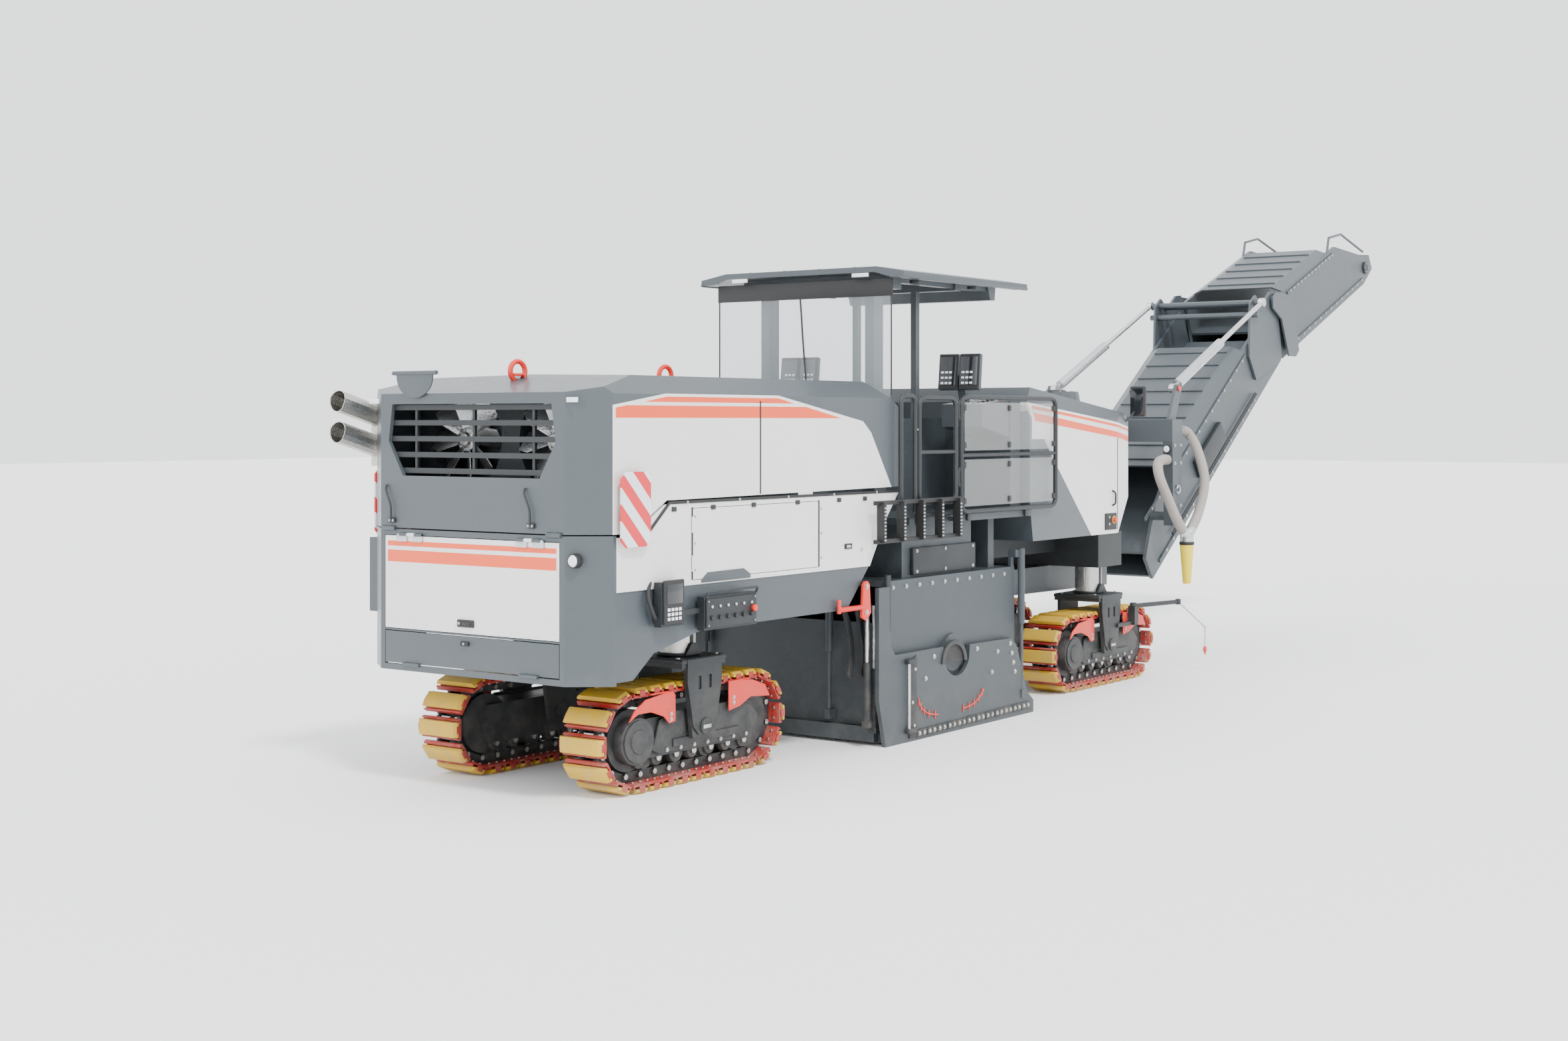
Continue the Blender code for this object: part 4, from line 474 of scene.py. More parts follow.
def board_stripes():
    """Red and white diagonals of the warning boards, repeating about every 0.16 m."""
    tree, _, out = group("board stripes", [], [("Colour", "NodeSocketColor")])
    where = add(tree, "ShaderNodeTexCoord").outputs["Object"]
    along = add(tree, "ShaderNodeVectorMath", [(0, where)], operation="DOT_PRODUCT", in_1=(4.6, 0.0, 4.2))
    part = add(tree, "ShaderNodeMath", [(0, along.outputs[1])], operation="FRACT")
    mask = add(tree, "ShaderNodeMath", [(0, part.outputs[0])], operation="GREATER_THAN", in_1=0.5)
    mixed = add(tree, "ShaderNodeMix", [(0, mask.outputs[0])], data_type="RGBA",
            in_6=(0.8, 0.81, 0.86, 1.0), in_7=(0.72, 0.02, 0.03, 1.0))
    tree.links.new(mixed.outputs[2], out.inputs[0])


CAD_FINISH = {"board stripes": ("warning_board_right", "warning_board_left"),
        "steel": ("exhaust_pipes",), "hood paint": ("hood_shell", "hood_side_right", "hood_side_left"),
        "unit paint": ("side_plate_right", "side_plate_left", "drum_housing", "scraper_blade",
        "platform_deck", "operator_console"), "silver metal": ("lift_barrel_right",
        "lift_barrel_left"), "white paint": ("lower_side_right", "lower_side_left",
        "service_door_right", "service_door_left"), "door paint": ("rear_door",),
        "front paint": ("front_body",), "grey paint": ("rear_posts", "rear_flap", "left_side_box",
        "canopy", "conveyor_lower", "conveyor_lower_cover", "conveyor_upper", "conveyor_upper_cover",
        "side_skirt_right", "side_skirt_left", "swivel_frame", "engine_block", "primary_conveyor",
        "swivel_mount"), "dark paint": ("main_frame", "cooler_pack", "milling_drum", "fan_grille",
        "side_controls", "crawler_frame_rear_right", "crawler_frame_rear_left",
        "crawler_frame_front_right", "crawler_frame_front_left"),
        "chrome": ("lift_rod_right", "lift_rod_left"), "black plastic": ("ladder_right",
        "ladder_left"),}


def dress_frame():
    """Give every node of the frame that stays its own finish."""
    for finish, names in CAD_FINISH.items():
        for name in names:
            mesh = NODES[name].data
            mesh.materials.clear()
            mesh.materials.append(MATERIALS[finish])


# ---- crawlers ----
TRACK_LENGTH, TRACK_HEIGHT, TRACK_HALF = 2.15, 0.79, 0.22
CHAIN_RADIUS, PAD_COUNT = 0.27, 28
HALF_SPAN = (TRACK_LENGTH - TRACK_HEIGHT) / 2


def link_place(along):
    """Matrix of a track link whose X runs along the chain and Z points out of the loop."""
    arc = math.pi * CHAIN_RADIUS
    middle = TRACK_HEIGHT / 2
    along %= 4 * HALF_SPAN + 2 * arc
    for start, kind in ((HALF_SPAN, 0), (arc, 1), (2 * HALF_SPAN, 2), (arc, 3), (HALF_SPAN, 4)):
        if along < start or kind == 4:
            break
        along -= start
    if kind in (0, 4):
        x, z, turn = along - (HALF_SPAN if kind == 4 else 0), middle - CHAIN_RADIUS, math.pi
    elif kind == 2:
        x, z, turn = HALF_SPAN - along, middle + CHAIN_RADIUS, 0.0
    else:
        angle = along / CHAIN_RADIUS + (-math.pi / 2 if kind == 1 else math.pi / 2)
        x = (HALF_SPAN if kind == 1 else -HALF_SPAN) + CHAIN_RADIUS * math.cos(angle)
        z, turn = middle + CHAIN_RADIUS * math.sin(angle), math.pi / 2 - angle
    return shift(x, 0.0, z) @ Matrix.Rotation(turn, 4, "Y")


def build_tracks():
    """Pads on red shoes over a two-strand chain, repeated round each loop."""
    pad = paint(plate([(-0.215, 0.086), (0.215, 0.086), (0.215, 0.104), (0.19, 0.1245),
            (-0.19, 0.1245), (-0.215, 0.104)], "X", -0.06, 0.06, 0.006), "pad yellow")
    shoe = paint(plate([(-0.08, 0.05), (0.078, 0.05), (0.084, 0.066), (0.074, 0.088), (0.066, 0.086),
            (0.066, 0.07), (-0.066, 0.07), (-0.07, 0.086), (-0.08, 0.084)], "Y", -0.205, 0.205,
            0.003), "shoe red")
    ears = copies(paint(block((-0.03, 0.03), (-0.012, 0.0), (0.062, 0.108), 0.005), "shoe red"),
            [shift(y=0.2195), shift(y=-0.2075)])
    strands = copies(paint(plate([(-0.085, -0.03), (0.055, -0.03), (0.075, -0.01), (0.088, 0.02),
            (0.08, 0.05), (-0.08, 0.05), (-0.086, 0.0)], "Y", -0.017, 0.017, 0.004), "dark paint"),
            [shift(y=0.075), shift(y=-0.075)])
    pin = paint(bar((0.07, -0.115, 0.0), (0.07, 0.115, 0.0), 0.021, 10), "steel")
    nuts = painted("steel", bolts([(x, y, 0.05) for x in (-0.04, 0.04) for y in (-0.15, 0.15)],
            (0, 0, -1), 0.013, 0.012, False))
    link = together([pad, shoe, *ears, *strands, pin, *nuts])
    length = 4 * HALF_SPAN + 2 * math.pi * CHAIN_RADIUS
    loop = together(copies(link, [link_place(k * length / PAD_COUNT) for k in range(PAD_COUNT)]))
    spots = [(end, hand, shift(station, side * TRACK_Y, 0.0)) for end,
            station in (("rear", 0.0), ("front", FRONT_AXIS)) for hand, side in SIDES]
    for (end, hand, _), piece in zip(spots, copies(loop, [place for _, _, place in spots])):
        done(piece, f"shoes_{end}_{hand}", f"crawler_{end}_{hand}", replaces=[f"track_{end}_{hand}"])


def build_undercarriage():
    """Rollers, final drive, side plates, red guards, yoke plates and the bright columns."""
    for end, x in (("rear", 0.0), ("front", FRONT_AXIS)):
        for hand, side in SIDES:
            y, body = side * TRACK_Y, f"crawler_{end}_{hand}"
            parts = []
            for k in range(7):
                rx = x - 0.6 + 0.2 * k
                for s in (1, -1):
                    parts.append(paint(bar((rx, y + s * 0.1, 0.235), (rx, y + s * 0.15, 0.235), 0.068,
                            18, 0.06, edge=0.004), "dark paint"))
                    parts.append(paint(bar((rx, y + s * 0.15, 0.235), (rx, y + s * 0.168, 0.235), 0.026,
                            10), "steel"))
            outer = y + side * 0.172
            rim = [(x - 0.5, 0.3), (x - 0.42, 0.265), (x + 0.62, 0.265), (x + 0.7, 0.33),
                    (x + 0.74, 0.42), (x + 0.66, 0.5), (x + 0.52, 0.56), (x - 0.3, 0.57),
                    (x - 0.42, 0.52)]
            parts.append(paint(plate(rim, "Y", *sorted((outer, outer + side * 0.022)), 0.005), "dark paint"))
            parts.append(paint(plate([(x - 0.28, 0.3), (x + 0.5, 0.3), (x + 0.5, 0.36),
                    (x - 0.28, 0.36)], "Y", *sorted((outer + side * 0.018, outer + side * 0.036)),
                    0.005), "dark paint"))
            parts += painted("steel", bolts([(x - 0.34 + 0.155 * k, outer + side * 0.024, 0.285)
                    for k in range(7)], (0, side, 0), 0.012, 0.01))
            hub = (x - HALF_SPAN, outer + side * 0.004, TRACK_HEIGHT / 2)
            parts.append(paint(bar((hub[0], y, hub[2]), (hub[0], hub[1] + side * 0.04, hub[2]), 0.178,
                    36, edge=0.008), "dark paint"))
            parts.append(paint(bar(hub, (hub[0], hub[1] + side * 0.064, hub[2]), 0.105, 28, 0.09,
                    edge=0.006), "dark paint"))
            ring = [(hub[0] + 0.142 * math.cos(a), hub[1] + side * 0.04, hub[2] + 0.142 * math.sin(a))
                    for a in (math.tau * k / 12 for k in range(12))]
            parts += painted("steel", bolts(ring, (0, side, 0), 0.013, 0.01, False))
            done(parts, f"running_gear_{end}_{hand}", body)
            low, high = sorted((y + side * 0.226, y + side * 0.238))
            guards = [plate([(x - 0.8, 0.55), (x - 0.74, 0.63), (x - 0.62, 0.7), (x - 0.32, 0.735),
                    (x - 0.29, 0.7), (x - 0.29, 0.5), (x - 0.36, 0.49), (x - 0.42, 0.55),
                    (x - 0.56, 0.6), (x - 0.7, 0.6)], "Y", low, high, 0.004),
                    plate([(x + 0.33, 0.735), (x + 0.62, 0.715), (x + 0.78, 0.66), (x + 0.84, 0.56),
                    (x + 0.6, 0.58), (x + 0.46, 0.52), (x + 0.33, 0.5)], "Y", low, high, 0.004)]
            guards += [block((x - 0.56, x - 0.36), sorted((y + side * 0.16, y + side * 0.235)),
                    (0.725, 0.735), 0.003), block((x + 0.36, x + 0.6),
                    sorted((y + side * 0.16, y + side * 0.235)), (0.722, 0.732), 0.003)]
            for g in guards:
                paint(g, "guard red")
            face = y + side * 0.238
            guards += painted("steel", bolts([(x - 0.34, face, 0.56), (x - 0.34, face, 0.52),
                    (x + 0.39, face, 0.56), (x + 0.39, face, 0.6)], (0, side, 0), 0.012, 0.008))
            done(guards, f"guards_{end}_{hand}", body)
            leg = TRACK_HALF + 0.012 + 0.035
            face = y + side * leg
            yoke = [plate([(x - 0.2, 0.955), (x - 0.2, 0.78), (x - 0.135, 0.44), (x - 0.07, 0.37),
                    (x + 0.07, 0.37), (x + 0.135, 0.44), (x + 0.2, 0.78), (x + 0.2, 0.955)], "Y",
                    *sorted((face + side * 0.001, face + side * 0.013)), 0.004,
                    [[(x + dx - 0.016, z0), (x + dx + 0.016, z0), (x + dx + 0.016, z0 + 0.1),
                    (x + dx - 0.016, z0 + 0.1)] for dx, z0 in ((-0.06, 0.72), (0.06, 0.72))]),
                    bar((x, face, 0.43), (x, face + side * 0.03, 0.43), 0.062, 24, edge=0.005),
                    block((x - 0.26, x + 0.26), (y - leg - 0.008, y + leg + 0.008), (0.925, 0.956),
                    0.008), plate([(x - 0.1, 0.97), (x + 0.1, 0.97), (x + 0.03, 1.06),
                    (x - 0.03, 1.06)], "Y", *sorted((y + side * 0.15, y + side * 0.17)), 0.003)]
            for part in yoke:
                paint(part, "dark paint")
            yoke.append(paint(block((x - 0.045, x + 0.045), sorted((face + side * 0.028,
                    face + side * 0.038)), (0.415, 0.445), 0.003), "steel"))
            yoke += painted("steel", bolts([(x + dx, y + side * dy, 0.956) for dx in (-0.22, 0.22)
                    for dy in (-0.2, 0.2)], (0, 0, 1), 0.018, 0.014))
            done(yoke, f"yoke_{end}_{hand}", body)
            column = bar((x, y, 0.965), (x, y, 1.3), 0.1415, 48)
            slotted = block((x - 0.02, x + 0.02), sorted((y + side * 0.136, y + side * 0.1435)),
                    (1.02, 1.25), 0.002)
            done([paint(column, "steel"), paint(slotted, "black plastic"),
                    paint(bar((x, y, 0.965), (x, y, 0.985), 0.165, 40, edge=0.005), "dark paint")],
                    f"column_{end}_{hand}", body)


def painted(name, *pieces):
    """The pieces, or lists of them, as one flat list in one finish."""
    flat = []
    for piece in pieces:
        flat += [paint(one, name) for one in (piece if isinstance(piece, list) else [piece])]
    return flat


def circle(centre, radius, axis, count=24, start=0.0, sweep=360.0):
    """Points round a circle that faces along an axis."""
    points = []
    for k in range(count + (sweep < 360.0)):
        a = math.radians(start + sweep * k / count)
        u, v = radius * math.cos(a), radius * math.sin(a)
        offset = {"X": (0, u, v), "Y": (u, 0, v), "Z": (u, v, 0)}[axis]
        points.append(tuple(c + d for c, d in zip(centre, offset)))
    return points


# ---- engine hood ----
def build_fans():
    """Eight twisted blades on a bolted hub, inside a rolled rim."""
    for hand, _ in SIDES:
        low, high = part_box(f"fan_{hand}")
        x, y, z = [(a + b) / 2 for a, b in zip(low, high)]
        x += ORIGIN
        reach = (high[2] - low[2]) / 2 - 0.012
        blade = plate([(-0.045, 0.08), (0.045, 0.08), (0.115, reach * 0.72), (0.095, reach),
                (-0.075, reach), (-0.085, reach * 0.7)], "X", -0.0035, 0.0035, 0.002)
        blade.data.transform(Matrix.Rotation(math.radians(36), 4, "Z"))
        hub = bar((-0.035, 0, 0), (0.035, 0, 0), 0.095, 32, edge=0.008)
        cap = bar((-0.06, 0, 0), (-0.034, 0, 0), 0.05, 24, 0.062, edge=0.004)
        studs = bolts(circle((-0.035, 0, 0), 0.074, "X", 8), (-1, 0, 0), 0.009, 0.008, False)
        parts = painted("silver metal", copies(blade, [Matrix.Rotation(math.tau * k / 8, 4, "X")
                for k in range(8)]), hub)
        parts += painted("steel", cap, studs)
        for part in parts:
            part.data.transform(shift(x, y, z))
        done(parts, f"fan_blades_{hand}", f"fan_{hand}", replaces=[f"fan_{hand}"])


def build_hood():
    """Seams, gap rails, lifting eyes, hinge tabs, lamp recess and the hooks of the rear panel."""
    hood, rails = [], []
    for _, side in SIDES:
        hood += painted("black plastic", block((0.402, 0.418), span(side, 1.2495, 1.2515),
                (2.205, 2.93), 0.0))
        rails += painted("black plastic", plate([(-0.86, 1.99), (-0.842, 1.975), (-0.64, 2.16),
                (2.28, 2.16), (2.28, 2.182), (-0.65, 2.182)], "Y", *span(side, 1.244, 1.258), 0.003))
        rails += painted("steel", bolts([(x, side * 1.258, 2.171)
                for x in (-0.45, 0.15, 0.75, 1.35, 1.95)], (0, side, 0), 0.008, 0.006))
        hood += painted("grey paint", block((-1.3, -1.06), span(side, 0.905, 1.075), (2.905, 2.95), 0.008))
        hood += painted("lamp glass", block((-1.4335, -1.428), span(side, 0.99, 1.1), (2.906, 2.942),
                0.0015))
    for x in (-0.95, 0.7):
        hood += painted("guard red", pipe(circle((x, 0, 3.15), 0.075, "Y", 20), 0.02, closed=True),
                        bar((x, 0, 3.115), (x, 0, 3.135), 0.055, 20, edge=0.004))
    half_round = [(-0.2, 3.135)] + [(0.2 * math.cos(a), 3.11 + 0.165 * math.sin(a)) for a in
                                     (math.pi + math.pi * k / 14 for k in range(15))] + [(0.2, 3.135)]
    hood += painted("grey paint", plate([(y + 0.57, z) for y, z in half_round], "X", -1.452, -1.44, 0.003))
    hood += painted("grey paint", pipe([(-1.446, 0.33, 3.135), (-1.446, 0.81, 3.135)], 0.016))
    for y in (0.831, -0.646):
        hook = [(-1.44, y + 0.06, 2.29), (-1.452, y + 0.06, 2.255), (-1.452, y, 2.13), (-1.452, y, 2.03)]
        hood += painted("dark paint", pipe(hook, 0.009, 0.03))
        hood += painted("dark paint", block((-1.449, -1.436), (y - 0.035, y + 0.035), (2.0, 2.04), 0.004))
    hood += painted("steel", bolts([(-1.449, y + d, 2.02) for y in (0.831, -0.646)
            for d in (-0.02, 0.02)], (-1, 0, 0), 0.007, 0.005))
    done(hood, "hood_fittings", "engine_hood")
    done(rails, "hood_gap_rails", "machine")


def build_rear():
    """Hinges, latches and lamp of the rear door and flap."""
    fixed, door, flap = [], [], []
    for y in (0.72, 0.55, -0.55, -0.72):
        door += painted("silver metal", block((-1.446, -1.432), (y - 0.055, y + 0.055), (1.862, 1.91),
                0.003), bar((-1.438, y - 0.05, 1.915), (-1.438, y + 0.05, 1.915), 0.008, 14,
                edge=0.002))
    door += painted("black plastic", block((-1.447, -1.43), (-0.055, 0.115), (1.252, 1.308), 0.006))
    door += painted("dark paint", block((-1.453, -1.443), (-0.03, 0.06), (1.268, 1.292), 0.004))
    door += painted("steel", bar((-1.456, 0.085, 1.28), (-1.443, 0.085, 1.28), 0.011, 18, edge=0.002))
    flap += painted("black plastic", block((-1.445, -1.431), (0.0, 0.085), (1.113, 1.147), 0.005))
    flap += painted("steel", bar((-1.452, 0.042, 1.13), (-1.44, 0.042, 1.13), 0.009, 16, edge=0.002))
    for y in (0.6, -0.6):
        flap += painted("dark paint", bar((-1.438, y - 0.05, 0.936), (-1.438, y + 0.05, 0.936), 0.008,
                12, edge=0.002))
    lamp = (-1.425, -1.057, 1.783)
    fixed += painted("black plastic", bar((-1.39, lamp[1], lamp[2]), (-1.44, lamp[1], lamp[2]), 0.052,
            28, edge=0.004))
    fixed += painted("lamp glass", bar((-1.436, lamp[1], lamp[2]), (-1.452, lamp[1], lamp[2]), 0.046,
            28, 0.032, edge=0.004))
    done(door, "rear_door_fittings", "rear_door")
    done(flap, "rear_flap_fittings", "rear_flap")
    done(fixed, "rear_lamp", "machine")


def build_side_panels():
    """Seams, notch, hinge tabs and the lock of the lower panels."""
    for hand, side in SIDES:
        out = side * 1.2505
        parts = []
        for x in (-0.392, 1.155):
            parts += painted("black plastic", block((x - 0.008, x + 0.008), span(side, 1.2495, 1.2525),
                    (1.59, 2.13), 0.0))
            parts += painted("steel", bolts([(x + 0.035, out, z) for z in (1.66, 1.86, 2.06)],
                    (0, side, 0), 0.008, 0.006))
        parts += painted("grey paint", plate([(-0.29, 1.582), (-0.219, 1.634), (0.202, 1.638),
                (0.284, 1.591), (0.284, 1.56), (-0.29, 1.56)], "Y", *span(side, 1.2495, 1.256),
                0.002))
        parts += painted("black plastic", block((1.5, 1.6), span(side, 1.249, 1.262),
                (1.712, 1.756), 0.005))
        parts += painted("silver metal", block((1.52, 1.58), span(side, 1.258, 1.266), (1.722, 1.746),
                0.004), bar((1.738, side * 1.249, 1.698), (1.738, side * 1.263, 1.698), 0.013, 18,
                edge=0.002))
        parts += painted("dark paint", [block((x, x + 0.05), span(side, 1.249, 1.26), (2.105, 2.14), 0.004)
                                        for x in (-0.62, -0.18, 0.3, 0.85, 1.4, 1.76)])
        done(parts, f"panel_fittings_{hand}", "machine")


def build_controls():
    """Screen box on its hose, switch panel with a red stop, guard handle and the left box's lamp."""
    y = -1.345
    parts = painted("black plastic", block((-0.815, -0.595), (y - 0.014, y + 0.01), (1.29, 1.615), 0.012))
    parts += painted("screen", block((-0.79, -0.62), (y - 0.018, y - 0.012), (1.44, 1.585), 0.003))
    parts += painted("lamp glass", [block((-0.782 + 0.04 * c, -0.756 + 0.04 * c),
            (y - 0.019, y - 0.012), (1.32 + 0.034 * r, 1.343 + 0.034 * r), 0.002) for c in range(4)
            for r in range(3)])
    parts += painted("dark paint", block((-0.345, 0.235), (y - 0.01, y + 0.004), (1.225, 1.445), 0.01))
    for k in range(6):
        x = -0.29 + 0.092 * k
        parts += painted("black plastic", bar((x, y - 0.008, 1.3), (x, y - 0.026, 1.3), 0.018, 18,
                edge=0.003))
        parts += painted("silver metal", bar((x, y - 0.008, 1.385), (x, y - 0.02, 1.385), 0.012, 16,
                edge=0.002))
    parts += painted("guard red", bar((0.195, y - 0.008, 1.34), (0.195, y - 0.038, 1.34), 0.026, 22,
            edge=0.004))
    parts += painted("dark paint", pipe([(-0.34, y, 1.455), (-0.34, y - 0.02, 1.5),
            (0.24, y - 0.02, 1.5), (0.24, y, 1.455)], 0.01, 0.03))
    parts += painted("rubber", pipe(spline_route([(-0.76, -1.27, 1.3), (-0.86, -1.3, 1.36),
            (-0.9, -1.28, 1.5), (-0.84, -1.24, 1.6)], 24), 0.014))
    parts += painted("steel", bolts([(x, y - 0.01, z) for x in (-0.325, 0.215)
            for z in (1.245, 1.425)], (0, -1, 0), 0.007, 0.005, False))
    parts += painted("lamp glass", bar((-1.05, 1.408, 1.72), (-1.05, 1.426, 1.72), 0.036, 24, 0.028,
            edge=0.003))
    parts += painted("guard red", bar((-0.88, 1.408, 1.4), (-0.88, 1.428, 1.4), 0.02, 18, edge=0.003))
    done(parts, "control_fittings", "machine")


# ---- milling unit ----
def build_side_plates():
    """Wear strips, bolt rows, red depth marks and the arched drive cover of the sliding plates."""
    for hand, side in SIDES:
        face = side * PLATE_FACE
        parts = []
        for k in range(12):
            x = 2.47 + 0.158 * k
            rise = 0.027 * (x - 2.486) / 1.857
            parts += painted("dark paint", plate([(x, 0.022 + rise), (x + 0.15, 0.024 + rise),
                    (x + 0.15, 0.092 + rise), (x, 0.09 + rise)], "Y", *span(side, 1.301, 1.315),
                    0.003))
            parts += painted("steel", bolts([(x + d, side * 1.315, 0.057 + rise)
                    for d in (0.038, 0.112)], (0, side, 0), 0.014, 0.012))
        singles = [(2.409, 0.336), (2.436, 0.134), (4.022, 0.693), (4.048, 0.6), (4.076, 0.51),
                (4.103, 0.422), (2.45, 0.62), (2.75, 0.7), (3.45, 0.7), (3.8, 0.64), (2.62, 0.52),
                (3.7, 0.46)]
        parts += painted("steel", bolts([(x, face, z) for x, z in singles], (0, side, 0), 0.016, 0.013))
        arch = circle((3.06, 0, 0.62), 0.2, "Y", 16, 0, 180) + circle((3.06, 0, 0.62), 0.155, "Y", 16,
                180, -180)
        parts += painted("dark paint", plate([(x, z) for x, _, z in arch], "Y",
                *span(side, 1.301, 1.32), 0.004))
        parts += painted("black plastic", plate([(x, z) for x, _,
                z in circle((3.06, 0, 0.62), 0.152, "Y", 18, 0, 180)], "Y", *span(side, 1.301, 1.305),
                0.001))
        for marks in ([(2.506, 0.329), (2.56, 0.262), (2.66, 0.208), (2.812, 0.179)],
                [(3.215, 0.185), (3.35, 0.2), (3.47, 0.245), (3.556, 0.318)]):
            line = spline_route([(x, side * 1.305, z) for x, z in marks], 18)
            ticks = [block((p.x - 0.005, p.x + 0.005), span(side, 1.302, 1.31),
                    (p.z - 0.035, p.z + 0.035), 0.0015) for p in line[::4]]
            parts += painted("guard red", pipe(line, 0.007), ticks)
        parts += painted("chrome", bar((2.325, side * 1.33, 0.09), (2.325, side * 1.33, 0.72), 0.014,
                20, edge=0.002))
        parts += painted("dark paint", [block((2.3, 2.42), span(side, 1.3, 1.35),
                (z - 0.02, z + 0.02), 0.004) for z in (0.1, 0.7)])
        parts += painted("dark paint", plate([(2.36, 0.03), (2.47, 0.03), (2.47, 0.74), (2.36, 0.7)],
                "Y", *span(side, 1.301, 1.312), 0.003))
        done(parts, f"side_plate_fittings_{hand}", f"side_plate_{hand}")


def build_drum_unit():
    """Housing bolts, chrome guide rods, curved levers, lock bar and hydraulic lines."""
    parts = []
    for _, side in SIDES:
        parts += painted("steel", bolts([(2.22 + 0.2 * k, side * 1.236, 1.34) for k in range(10)],
                (0, side, 0), 0.014, 0.011))
        parts += painted("chrome", bar((2.085, side * 1.275, 0.3), (2.085, side * 1.275, 1.05), 0.018,
                20, edge=0.002))
        parts += painted("dark paint", bar((2.085, side * 1.275, 0.98), (2.085, side * 1.275, 1.46),
                0.028, 20, edge=0.005))
        lever = [(1.96, 0.62), (2.0, 0.58), (2.055, 0.7), (2.045, 0.9), (1.99, 1.08), (1.93, 1.18),
                (1.9, 1.15), (1.95, 1.0), (1.985, 0.86), (1.985, 0.72)]
        parts += painted("dark paint", plate(lever, "Y", *span(side, 1.06, 1.085), 0.004))
        parts += painted("dark paint", plate([(x - 0.1, z) for x, z in lever], "Y",
                *span(side, 1.0, 1.025), 0.004))
        for k in range(3):
            y = side * (0.3 + 0.07 * k)
            route = spline_route([(1.62, y, 1.3), (1.8, y + side * 0.1, 1.16),
                    (1.93, y + side * 0.22, 1.12), (2.02, y + side * 0.3, 1.24)], 28)
            parts += painted("rubber", pipe(route, 0.013))
    y = -1.262
    for x, foot in ((1.93, 0.22), (2.03, 0.16)):
        parts += painted("dark paint", bar((x, y + 0.09, foot), (x, y + 0.09, foot + 0.5), 0.034, 22,
                edge=0.004), block((x - 0.03, x + 0.03), (y + 0.05, y + 0.13),
                (foot - 0.05, foot + 0.01), 0.006))
        parts += painted("chrome", bar((x, y + 0.09, foot + 0.48), (x, y + 0.09, 1.2), 0.019, 20,
                edge=0.002))
    parts += painted("guard red", plate([(1.7, 1.13), (1.76, 1.1), (1.83, 1.16), (1.81, 1.4),
            (1.785, 1.43), (1.745, 1.43), (1.72, 1.4)], "Y", y - 0.026, y, 0.004),
            bar((1.4, y - 0.01, 1.215), (1.74, y - 0.01, 1.215), 0.022, 18, edge=0.004),
            bar((1.4, y - 0.01, 1.185), (1.4, y - 0.01, 1.3), 0.018, 16, edge=0.003))
    parts += painted("steel", bolts([(1.765, y - 0.026, z) for z in (1.17, 1.385)], (0, -1, 0), 0.016, 0.014))
    done(parts, "milling_unit_fittings", "machine")


def build_drum_teeth():
    """Rows of picks in their holders, wound as two spirals round the drum."""
    low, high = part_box("milling_drum")
    x, z = (low[0] + high[0]) / 2 + ORIGIN, (low[2] + high[2]) / 2
    radius = (high[2] - low[2]) / 2 - 0.07
    holder = paint(block((-0.028, 0.028), (-0.022, 0.022), (-0.004, 0.04), 0.006, 1), "dark paint")
    pick = paint(bar((0, 0, 0.034), (0.018, 0, 0.064), 0.013, 8, 0.004), "steel")
    tooth = together([holder, pick])
    places = []
    for k in range(96):
        y = -1.04 + 2.08 * k / 95
        turn = abs(y) * 7.5 + (math.pi if k % 2 else 0.0)
        places.append(shift(x, y, z) @ Matrix.Rotation(turn, 4, "Y") @ shift(z=radius))
    done(together(copies(tooth, places)), "drum_picks", "milling_drum")


# ---- operator platform ----
def rail_frame(y, x0, x1, z0, z1, middle=None, corner=0.09):
    made = [pipe([(x0, y, z0), (x1, y, z0), (x1, y, z1), (x0, y, z1)], 0.022, corner, closed=True, fine=3)]
    if middle:
        made.append(pipe([(x0, y, middle), (x1, y, middle)], 0.018, fine=3))
    return made


